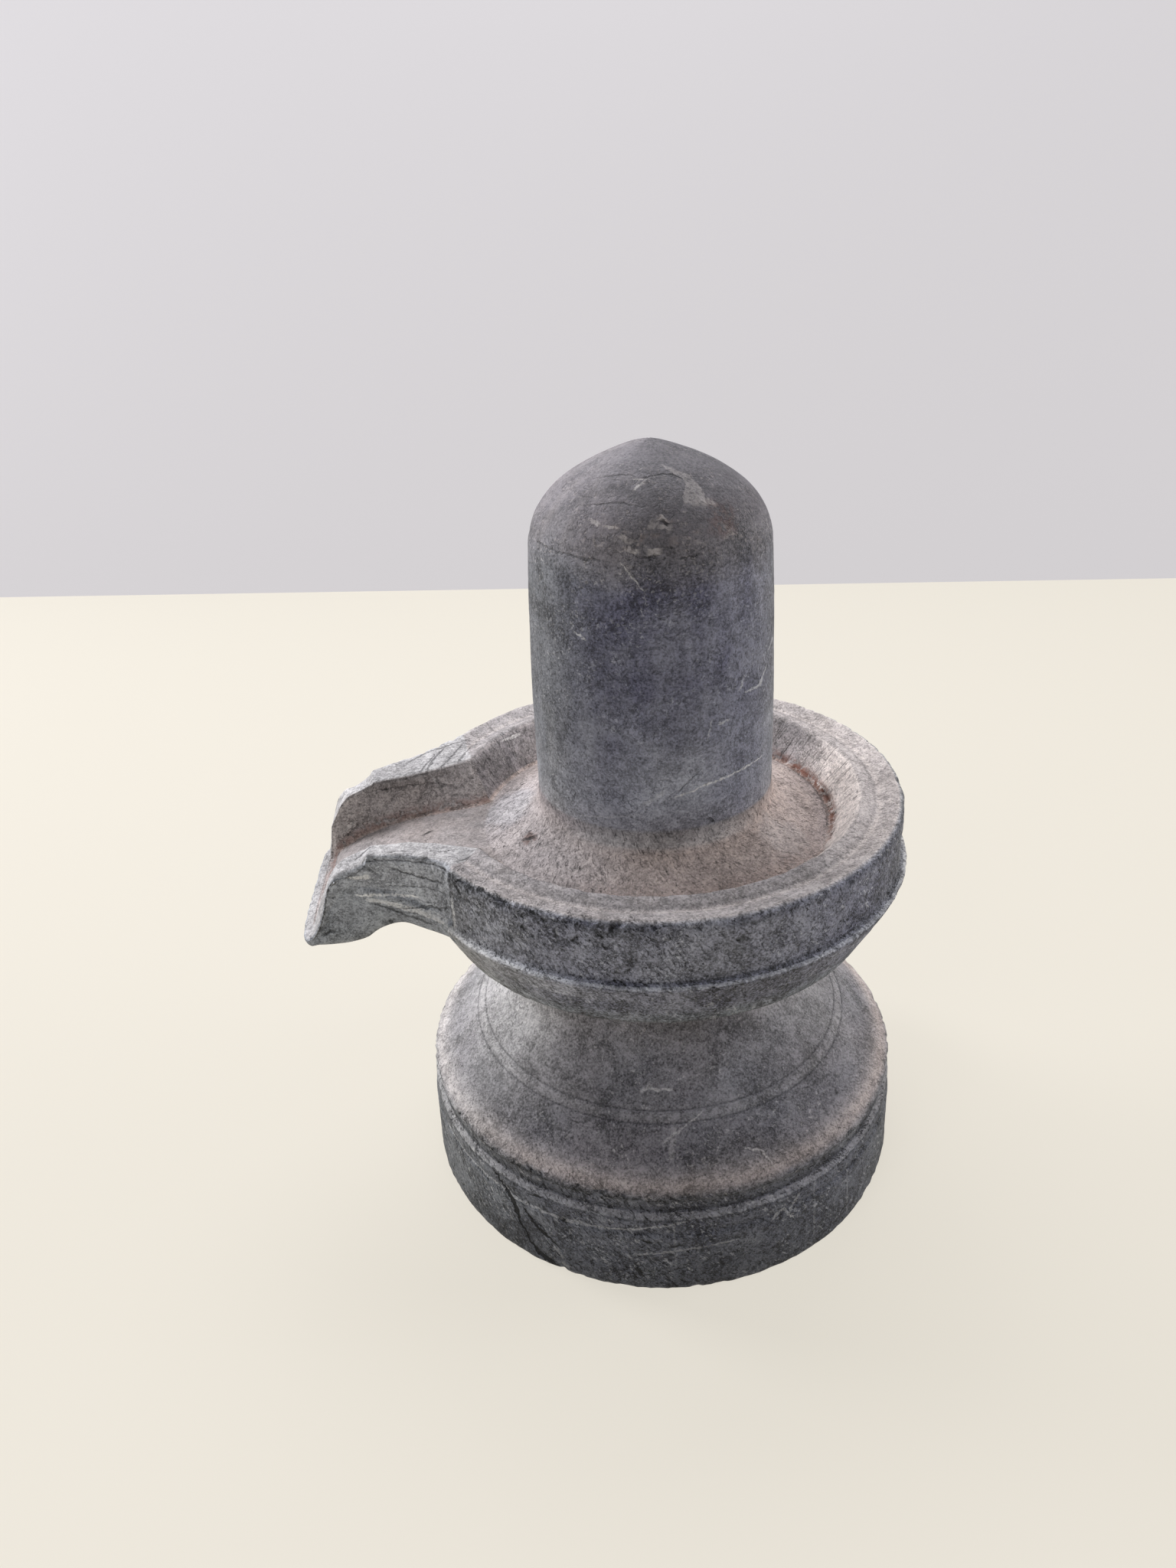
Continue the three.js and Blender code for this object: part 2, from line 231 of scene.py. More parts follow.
def smooth_step(low, high, x):
    t = np.clip((x - low) / (high - low), 0, 1)
    return t * t * (3 - 2 * t)


def bump_at(x, middle, width):
    """1 at the middle, falling to nothing over about twice the width to both sides."""
    return np.exp(-((x - middle) / width) ** 2)


def along(points, x):
    """The height of a smooth line through the points, at x."""
    line = curve_through(points, 0.4)
    return np.interp(x, line[:, 0], line[:, 1])


def turn_of(point):
    return math.atan2(point[1], point[0])


class Shell:
    """Collects the mesh's vertices and faces."""

    def __init__(self):
        self.points = []
        self.kinds = []
        self.quads = []
        self.triangles = []

    def add(self, points, kind):
        start = len(self.kinds)
        self.points.append(np.asarray(points, float))
        self.kinds += [kind] * len(points)
        return np.arange(start, len(self.kinds))

    def band(self, lower, upper, closed=True):
        """Quads between two rings or rows of the same length, outward when they run counterclockwise."""
        if closed:
            lower, upper = np.append(lower, lower[0]), np.append(upper, upper[0])
        self.quads.append(np.stack([lower[:-1], lower[1:], upper[1:], upper[:-1]], axis=1))

    def halve(self, lower, upper):
        """Joins a ring to one with half as many vertices."""
        a, b = lower[0::2], lower[1::2]
        c, d = np.roll(a, -1), np.roll(upper, -1)
        for corners in ((a, b, upper), (b, c, d), (b, d, upper)):
            self.triangles.append(np.stack(corners, axis=1))

    def fan(self, ring, centre, upward):
        following = np.roll(ring, -1)
        middle = np.full(len(ring), centre)
        corners = (ring, following, middle) if upward else (following, ring, middle)
        self.triangles.append(np.stack(corners, axis=1))


def circle(radius, height, angles):
    return np.stack([radius * np.cos(angles), radius * np.sin(angles), np.full(len(angles), height)], axis=1)


def side_lines(outer, inner):
    """The outer, inner and crease line of one side in plan, each sampled from the root to the tip."""
    line = curve_through(outer, 0.1)
    rise = along(BROW, line[:, 0])
    steps = np.linalg.norm(np.diff(np.column_stack([line, rise]), axis=0), axis=1)
    length = np.append(0, np.cumsum(steps))
    at = np.linspace(0, length[-1], ON_SIDE + 1)
    first = np.column_stack([np.interp(at, length, line[:, 0]), np.interp(at, length, line[:, 1])])
    share = (first[:, 0] - first[0, 0]) / (first[-1, 0] - first[0, 0])
    lines = [first]
    for points in (inner, CREASE):
        reach = first[:, 0] - (first[0, 0] - points[0][0]) * (1 - share) ** 2
        lines.append(np.column_stack([reach, along(points, reach)]))
    return lines


def tip_reach(y, back):
    return along(TIP, y) - back


def at_place(lines, place):
    """Between two neighbours of a list, at a place such as 1.3 for a little past the second."""
    first = min(int(place), len(lines) - 2)
    return lines[first] * (1 - (place - first)) + lines[first + 1] * (place - first)


def side_of_row(row, lines, way):
    """One row's line along a side of the spout, from root to tip. The way is -1 near and 1 far."""
    radius, height, plan, push, level, lift, back, tip_height, _ = row
    reach, y = at_place(lines, plan).T.copy()
    ends = np.linspace(0, 1, ON_SIDE + 1)
    at_root = 1 - smooth_step(0.0, 0.1, ends)
    y += push * (1 - at_root) * (1 - smooth_step(66.0, 71.0, reach) * (push > 0))
    reach += (tip_reach(way * y[-1], back) - reach[-1]) * smooth_step(0.8, 1.0, ends)
    z = lift * (1 - smooth_step(70.0, 76.0, reach) * (0 < level < 2))
    z = z + at_place([along(line, reach) for line in HEIGHTS], level)
    z = z + (tip_height - z[-1]) * smooth_step(0.9, 1.0, ends)
    pull = (radius / math.hypot(reach[0], y[0]) - 1) * at_root
    reach += reach[0] * pull
    y += y[0] * pull
    z = z + (height - z[0]) * at_root
    return np.column_stack([-reach, way * y, z])


def disc_angles(near, far):
    """Angles along the disc from the spout's near root round to its far one, shifted only close to it."""
    t = np.linspace(0, 1, ON_DISC + 1)
    fade = 0.28
    return (blend(t, DISC_START, DISC_END) + (near - DISC_START) * (1 - smooth_step(0, fade, t))
            + (far - DISC_END) * smooth_step(1 - fade, 1, t))


def spout_row(row, near_lines, far_lines):
    """A whole ring with the spout in it, counterclockwise from the spout's near root."""
    near = side_of_row(row, near_lines, -1)
    far = side_of_row(row, far_lines, 1)
    disc = circle(row[0], row[1], disc_angles(turn_of(near[0]), turn_of(far[0])))
    y = np.linspace(far[-1, 1], near[-1, 1], ON_TIP + 1)
    tip = np.column_stack([-tip_reach(y, row[6]), y, np.full(ON_TIP + 1, row[7])])
    return np.vstack([disc, far[1:], tip[1:], near[-2:0:-1]])


def spout_rows():
    """All rings between the rows, and the index of each row among them."""
    rings = []
    marks = []
    near_lines = side_lines(OUTER_NEAR, INNER_NEAR)
    far_lines = side_lines(OUTER_FAR, INNER_FAR)
    for row, following in zip(ROWS, ROWS[1:] + [ROWS[-1]]):
        marks.append(len(rings))
        count = max(row[-1], 1)
        for i in range(count):
            between = [blend(i / count, a, b) for a, b in zip(row, following)]
            rings.append(spout_row(between, near_lines, far_lines))
    return np.array(rings), marks


def patch(arc, tip, far, near):
    """A surface between an arc, a tip line and two sides; the rows run from the arc to the tip."""
    v = np.linspace(0, 1, len(far))[:, None, None]
    w = np.linspace(0, 1, len(arc))[None, :, None]
    corners = (1 - v) * ((1 - w) * arc[0] + w * arc[-1]) + v * ((1 - w) * tip[0] + w * tip[-1])
    return ((1 - v) * arc[None] + v * tip[None] + (1 - w) * far[:, None] + w * near[:, None]) - corners


def sides_of(ring):
    """The far side, tip and near side of a ring with the spout, the sides from root to tip."""
    ring = np.concatenate([ring, ring[:1]])
    return ring[FAR_ROOT:FAR_CORNER + 1], ring[FAR_CORNER:NEAR_CORNER + 1], ring[NEAR_CORNER:][::-1]


def spout_patch(shell, ring_points, ring, arc_radius, arc_height, kind):
    """Fills a spout ring's three sides in to an arc on the disc; gives the circle ring it ends in."""
    far, tip, near = sides_of(ring_points)
    angles = np.linspace(turn_of(far[0]), turn_of(near[0]) + 2 * math.pi, ON_TIP + 1)
    grid = patch(circle(arc_radius, arc_height, angles), tip, far, near)
    ids = np.empty(grid.shape[:2], int)
    ids[:, 0], ids[-1], ids[:, -1] = sides_of(ring)
    inside = grid[:-1, 1:-1]
    ids[:-1, 1:-1] = shell.add(inside.reshape(-1, 3), kind).reshape(inside.shape[:2])
    for inner, outer in zip(ids[:-1], ids[1:]):
        lower, upper = (inner, outer) if kind == UNDERSIDE else (outer, inner)
        shell.band(lower, upper, closed=False)
    return np.append(ring[:ON_DISC], ids[0, :-1])


def turned_rings(shell, profile, angles_at, kind, previous, last=None):
    """Rings of a turned profile, from a ring of the mesh and, if it is given, up to another one."""
    steps = len(profile) - 1
    for i, (radius, height) in enumerate(profile[1:], 1):
        if i == steps and last is not None:
            ring = last
        else:
            ring = shell.add(circle(radius, height, angles_at(i / steps)), kind)
        shell.band(previous, ring)
        previous = ring
    return previous


def ring_angles(ring):
    """Angles for a circle that goes with a spout ring: along the disc, then across the spout's root."""
    far, _, near = sides_of(ring)
    start, end = turn_of(near[0]), turn_of(far[0])
    across = np.linspace(end, start + 2 * math.pi, ON_TIP + 1)
    return np.append(disc_angles(start, end)[:-1], across[:-1])


def finer_at_rings(profile):
    """The profile with more points where the flare is scored."""
    out = [profile[:1]]
    for start, end in zip(profile[:-1], profile[1:]):
        scored = 43.6 < (start[0] + end[0]) / 2 < 47.9 and 35 < end[1] < 45
        out.append(blend(shares(3 if scored else 1), start, end))
    return np.vstack(out)


def build_shell():
    """The undressed stone, with the spout's rings, their rows and their vertices."""
    shell = Shell()
    rings, marks = spout_rows()
    even = DISC_START + np.arange(ROUND) * 2 * math.pi / ROUND
    low = finer_at_rings(np.vstack([
        joined_lines(DRUM, 0.95), curve_through(WAIST, 1.15)[1:], joined_lines(BEVEL, 0.95)[1:]]))
    base = ring_angles(rings[0])
    spout_ids = np.array([shell.add(ring, SIDES) for ring in rings])
    for lower, upper in zip(spout_ids[:-1], spout_ids[1:]):
        shell.band(lower, upper)

    under = spout_patch(shell, rings[0], spout_ids[0], *BEVEL[-1], UNDERSIDE)
    foot = shell.add(circle(*low[0], even), FOOT)
    turned_rings(
        shell, low, lambda t: blend(smooth_step(0.6, 1.0, t), even, base), PEDESTAL, foot, last=under)
    shell.fan(foot, shell.add([(0, 0, 0)], FOOT)[0], upward=False)

    top = spout_patch(shell, rings[-1], spout_ids[-1], *FLOOR[0], CHANNEL)
    mouth = ring_angles(rings[-1])
    last = turned_rings(
        shell, curve_through(FLOOR, 0.95), lambda t: blend(smooth_step(0, 0.7, t), mouth, even), BOWL, top)

    high = np.vstack([joined_lines(SHAFT, 0.9), curve_through(HEAD, 0.9)[1:]])
    half = even[::2]
    start = shell.add(circle(*high[1], half), COLUMN)
    shell.halve(last, start)
    end = turned_rings(shell, high[1:], lambda t: half, COLUMN, start)
    shell.fan(end, shell.add([(0, 0, TOTAL_HEIGHT)], COLUMN)[0], upward=True)
    return shell, rings, marks, spout_ids


def normals_of(points, quads, triangles):
    """Vertex normals, weighted by the faces' areas."""
    normals = np.zeros_like(points)
    for faces in (quads, triangles):
        a, b, c = (points[faces[:, i]] for i in range(3))
        side = points[faces[:, 3]] - b if faces is quads else c - b
        face = np.cross(c - a, side)
        for corner in faces.T:
            np.add.at(normals, corner, face)
    return normals / np.maximum(np.linalg.norm(normals, axis=1), 1e-12)[:, None]


def field(points, size, octaves=3, seed=0.0):
    """Smooth noise, about -1 to 1, at the points, with blobs of the given size in millimetres."""
    places = np.asarray(points) / np.asarray(size) + seed
    return np.array([noise.fractal(p, 1.0, 2.0, octaves) for p in places.tolist()])


def pits(points, size, seed):
    """1 in the middle of scattered pits of about the given size, falling to 0 at their edges."""
    places = points / np.asarray(size) + seed
    out = np.zeros(len(places))
    for i, p in enumerate(places.tolist()):
        distances, cells = noise.voronoi(p)
        if noise.cell(cells[0] * 7.3) > 0.0:
            out[i] = max(0.0, 1 - distances[0] / 0.5)
    return out


def linked(name, data):
    """A new object in the scene."""
    made = bpy.data.objects.new(name, data)
    bpy.context.scene.collection.objects.link(made)
    return made


def smooth_mesh_object(name, points, quads, triangles, attributes):
    mesh = bpy.data.meshes.new(name)
    corners = np.concatenate([quads.ravel(), triangles.ravel()])
    starts = np.concatenate([np.arange(len(quads)) * 4, 4 * len(quads) + np.arange(len(triangles)) * 3])
    for things, label, kind, values in (
            (mesh.vertices, "co", np.float32, points * MM), (mesh.loops, "vertex_index", np.int32, corners),
            (mesh.polygons, "loop_start", np.int32, starts)):
        things.add(len(values))
        things.foreach_set(label, values.astype(kind).ravel())
    mesh.update(calc_edges=True)
    mesh.validate()
    mesh.shade_smooth()
    for label, values in attributes.items():
        layer = mesh.attributes.new(label, "FLOAT", "POINT")
        layer.data.foreach_set("value", np.asarray(values, np.float32))
    return linked(name, mesh)


def distance_to_line(x, y, line):
    """Distance from points to a line of straight stretches, all in the same plane."""
    best = np.inf
    for (ax, ay), (bx, by) in zip(line[:-1], line[1:]):
        dx, dy = bx - ax, by - ay
        t = np.clip(((x - ax) * dx + (y - ay) * dy) / (dx * dx + dy * dy), 0, 1)
        best = np.minimum(best, np.hypot(x - ax - t * dx, y - ay - t * dy))
    return best


class Surface:
    """Every vertex of the undressed stone with what the dressing and the colours go by."""

    def __init__(self):
        shell, rings, marks, spout_ids = build_shell()
        self.points = np.vstack(shell.points)
        self.quads = np.vstack(shell.quads)
        self.triangles = np.vstack(shell.triangles)
        kind = np.array(shell.kinds)
        (self.foot, self.pedestal, self.underside, self.sides, self.channel, self.bowl,
         self.column) = (kind == part for part in KINDS)
        self.normals = normals_of(self.points, self.quads, self.triangles)
        self.x, self.y, self.z = self.points.T
        self.r = np.hypot(self.x, self.y)
        self.angle = np.degrees(np.arctan2(self.y, self.x))
        self.flare = self.pedestal & (self.z > 36) & (self.z < 44)
        # The place of each vertex between the rows, below 0 off them, and how far it is from some rows.
        steps = np.linalg.norm(np.diff(rings, axis=0), axis=2)
        length = np.vstack([np.zeros(WHOLE), np.cumsum(steps, axis=0)])
        self.row = np.full(len(kind), -9.0)
        for i, ids in enumerate(spout_ids):
            self.row[ids] = np.interp(i, marks, np.arange(len(marks)))
        self.from_row = {}
        for row in (LEDGE_ROW, RIM_ROW, MOUTH_ROW, CREASE_ROW):
            self.from_row[row] = np.full(len(kind), FAR)
            self.from_row[row][spout_ids] = length - length[marks[row]]
        # How far each vertex is on the spout. On its far outer side this rises over half its length.
        self.spout = (self.underside | self.channel).astype(float)
        self.spout[spout_ids[:, ON_DISC:]] = 1.0
        outside = spout_ids[:marks[RIM_ROW], FAR_ROOT:FAR_CORNER]
        self.spout[outside] = smooth_step(0, 26, np.arange(ON_SIDE))

    def rows(self, first, last):
        """1 on the rings between two rows, and 0 elsewhere."""
        return ((self.row >= first) & (self.row <= last)).astype(float)

    def near_row(self, row, width):
        return bump_at(self.from_row[row], 0, width)

    def near_edge(self, edge, width):
        """1 at an edge of the drum, falling to nothing over about twice the width."""
        away = np.hypot(self.r - edge[0], self.z - edge[1])
        return bump_at(np.where(self.pedestal | (self.foot & (edge == FOOT_EDGE)), away, FAR), 0, width)

    def facing(self, towards, width):
        """1 on the side in a direction round the axis, falling to 0 over the width, in degrees."""
        apart = np.abs((self.angle - towards + 180) % 360 - 180)
        return 1 - smooth_step(0.35 * width, width, apart)

    def field(self, size, octaves, seed=0.0):
        return field(self.points, size, octaves, seed)

    def from_place(self, *place):
        return np.linalg.norm(self.points - place, axis=1)

    def unrolled(self, radius, height):
        """Places on a cylinder, in the direction of each vertex."""
        out = np.maximum(self.r, 1)
        return np.stack([self.x / out * radius, self.y / out * radius, height], axis=1)


def roughness_of(s):
    """How roughly each place is dressed, from 0 to 1."""
    rough = s.rows(0, 5.5) * (0.85 - 0.4 * s.spout) + s.rows(5.51, 8.2) * (1 - 0.5 * s.spout)
    rough += 0.28 * s.rows(8.21, 14) + 0.5 * s.rows(14.01, 17)
    rough[s.pedestal] = np.interp(s.z[s.pedestal], [0, 27.5, 28.6, 30, 44, 60, 71, 73, 81],
                                  [1, 1, 0.8, 0.3, 0.22, 0.4, 0.5, 0.7, 0.8])
    rough[s.column] = np.interp(s.z[s.column], [100, 108, 160, 163, 168, 180],
                                [0.35, 0.30, 0.35, 0.4, 0.2, 0.15])
    rough[s.bowl] = 0.22
    rough[s.channel] = 0.28
    rough[s.underside] = 0.8
    return rough


def edge_chips(s):
    """How far the worn and chipped edges are knocked back."""
    bitten = (0.7 * smooth_step(0.0, 0.5, s.field(3.6, 3, 11.0))
              + 0.5 * smooth_step(0.15, 0.6, s.field(1.9, 2, 31.0)))
    # Each edge, with its depth all round and what the front left adds to it.
    edges = ((s.near_row(RIM_ROW, 1.3), 0.55, 0.7), (s.near_row(LEDGE_ROW, 0.8), 0.45, 0),
             (s.near_row(MOUTH_ROW, 0.8), 0.3, 0), (s.near_edge(LIP_EDGE, 1.2), 0.7, 0.8),
             (s.near_edge(DRUM_LEDGE, 0.7), 0.35, 0), (s.near_edge(FOOT_EDGE, 1.2), 0.25, 0))
    depth = bitten * sum(near * (deep + more * s.facing(-128, 40)) for near, deep, more in edges)
    return depth * (1 - 0.8 * s.spout * smooth_step(75.0, 79.0, -s.x))


def relief_of(s, rough):
    """How far each vertex moves out along its normal, in millimetres."""
    out = 0.16 * s.field(24.0, 2) + 0.05 * s.field(8.0, 2, 5.0)
    radial = s.unrolled(NOISE_RADIUS, s.z - s.r)
    twisted = radial + radial[:, 2:] * (0.5, 0.3, 0)
    strokes = np.where(s.spout > 0, s.field((5.0, 2.2, 2.0), 2, 3.0), field(twisted, (1.6, 1.6, 3.4), 2, 3.0))
    out += rough * (0.13 * strokes + 0.08 * s.field(2.0, 2, 17.0))
    pitted = ((s.bowl | s.channel) * s.facing(190, 100) + 0.5 * s.rows(14.5, 16.5) * (1 - s.spout)
              + 0.35 * rough * s.rows(5.5, 9))
    out -= 0.28 * pits(radial, (1.5, 1.5, 2.2), 3.0) * pitted
    out -= edge_chips(s)
    torn = s.facing(-6, 52) * s.near_row(CREASE_ROW, 1.1)
    out -= torn * 0.6 * smooth_step(-0.15, 0.35, s.field(1.7, 2, 41.0))
    for radius in SCORED_RADII:
        out -= s.flare * 0.16 * bump_at(s.r, radius, 0.30)
    arc = math.radians(DRUM_RADIUS)
    drum = s.pedestal & (s.z < 23)
    for line, deep in ((CRACK, 0.5), (BRANCH, 0.35)):
        away = distance_to_line(s.angle * arc, s.z, [(angle * arc, height) for angle, height in line])
        out -= drum * deep * bump_at(away, 0, 0.75)
    streaks = 0.1 * field(s.unrolled(SHAFT_RADIUS, s.z / 9), 7.0, 2, 9.0)
    shoulder = 0.16 * bump_at(s.z, 162.2, 0.7) * s.facing(-160, 60)
    out += s.column * (streaks - shoulder)
    return np.where(s.foot, 0, out)


def dress(s, relief):
    points = s.points + s.normals * relief[:, None]
    points[:, 1] = np.clip(points[:, 1], -WIDEST, WIDEST)
    points[:, 2] = np.clip(points[:, 2], 0, TOTAL_HEIGHT)
    points[s.foot, 2] = 0
    return points


def linear(*parts):
    """A colour given as it looks on a screen, 0 to 255, as the shader's linear values."""
    parts = [part / 255 for part in parts]
    return (*(part / 12.92 if part <= 0.04045 else ((part + 0.055) / 1.055) ** 2.4 for part in parts), 1.0)


def worked_out(operation, swapped=False):
    """A method of Value that makes a Math node of it and another one."""
    def method(self, other=0.0):
        first, second = (other, self) if swapped else (self, other)
        return self.nodes.math(operation, first, second)
    return method


class Value:
    """An output of a node. Python's signs between such numbers make Math nodes."""
    __add__ = __radd__ = worked_out("ADD")
    __sub__ = worked_out("SUBTRACT")
    __rsub__ = worked_out("SUBTRACT", swapped=True)
    __mul__ = __rmul__ = worked_out("MULTIPLY")
    __truediv__ = worked_out("DIVIDE")
    __abs__ = worked_out("ABSOLUTE")

    def __init__(self, nodes, socket):
        self.nodes = nodes
        self.socket = socket


class Nodes:
    """Short ways to make the nodes of one material."""

    def __init__(self, tree):
        self.tree = tree

    def make(self, kind, inputs, output=0, **settings):
        """Makes a node, sets or links its inputs and gives one of its outputs."""
        node = self.tree.nodes.new(kind)
        for name, value in settings.items():
            setattr(node, name, value)
        for key, value in inputs.items():
            if isinstance(value, Value):
                self.tree.links.new(value.socket, node.inputs[key])
            else:
                node.inputs[key].default_value = value
        return Value(self, node.outputs[output])

    def math(self, operation, a, b=0.0, clamp=False):
        return self.make("ShaderNodeMath", {0: a, 1: b}, operation=operation, use_clamp=clamp)

    def vector(self, operation, a, b):
        return self.make("ShaderNodeVectorMath", {0: a, 1: b}, operation=operation)

    def xyz(self, x, y, z):
        return self.make("ShaderNodeCombineXYZ", {0: x, 1: y, 2: z})

    def noise(self, vector, scale, detail=3.0, roughness=0.55, distortion=0.0):
        return self.make("ShaderNodeTexNoise", {
            "Vector": vector, "Scale": scale, "Detail": detail, "Roughness": roughness,
            "Distortion": distortion}, "Fac")

    def step(self, value, low, high):
        """0 below low, 1 above high, and smooth between them; the other way round if low is above high."""
        return self.make("ShaderNodeMapRange", {0: value, 1: low, 2: high}, interpolation_type="SMOOTHSTEP")

    def between(self, value, low, high, soft):
        """1 between low and high, falling to 0 over the softness to both sides."""
        return self.step(value, low - soft, low + soft) * self.step(value, high + soft, high - soft)

    def mix(self, share, first, second):
        """A colour between two colours."""
        return self.make("ShaderNodeMix", {0: share, 6: first, 7: second}, 2, data_type="RGBA")

    def shade(self, colour, by):
        """A colour made darker or lighter by a number."""
        return self.vector("MULTIPLY", colour, self.xyz(by, by, by))

    def attribute(self, name):
        return self.make("ShaderNodeAttribute", {}, "Fac", attribute_name=name)


SLATE = linear(97, 98, 101)
SLATE_BLUE = linear(89, 89, 107)
SLATE_BROWN = linear(100, 95, 98)
SLATE_GREEN = linear(101, 110, 111)
# Pale tones for dust, bluish dust and pinkish-tan dust and for pale marks. They also colour the painted sheen
# round the flare and the painted highlight on the bevel's ledge.
PALE_TONE = linear(214, 212, 209)
PALE_TONE_BLUE = linear(194, 196, 203)
PALE_TONE_WARM = linear(206, 178, 160)
RUST = linear(104, 66, 52)

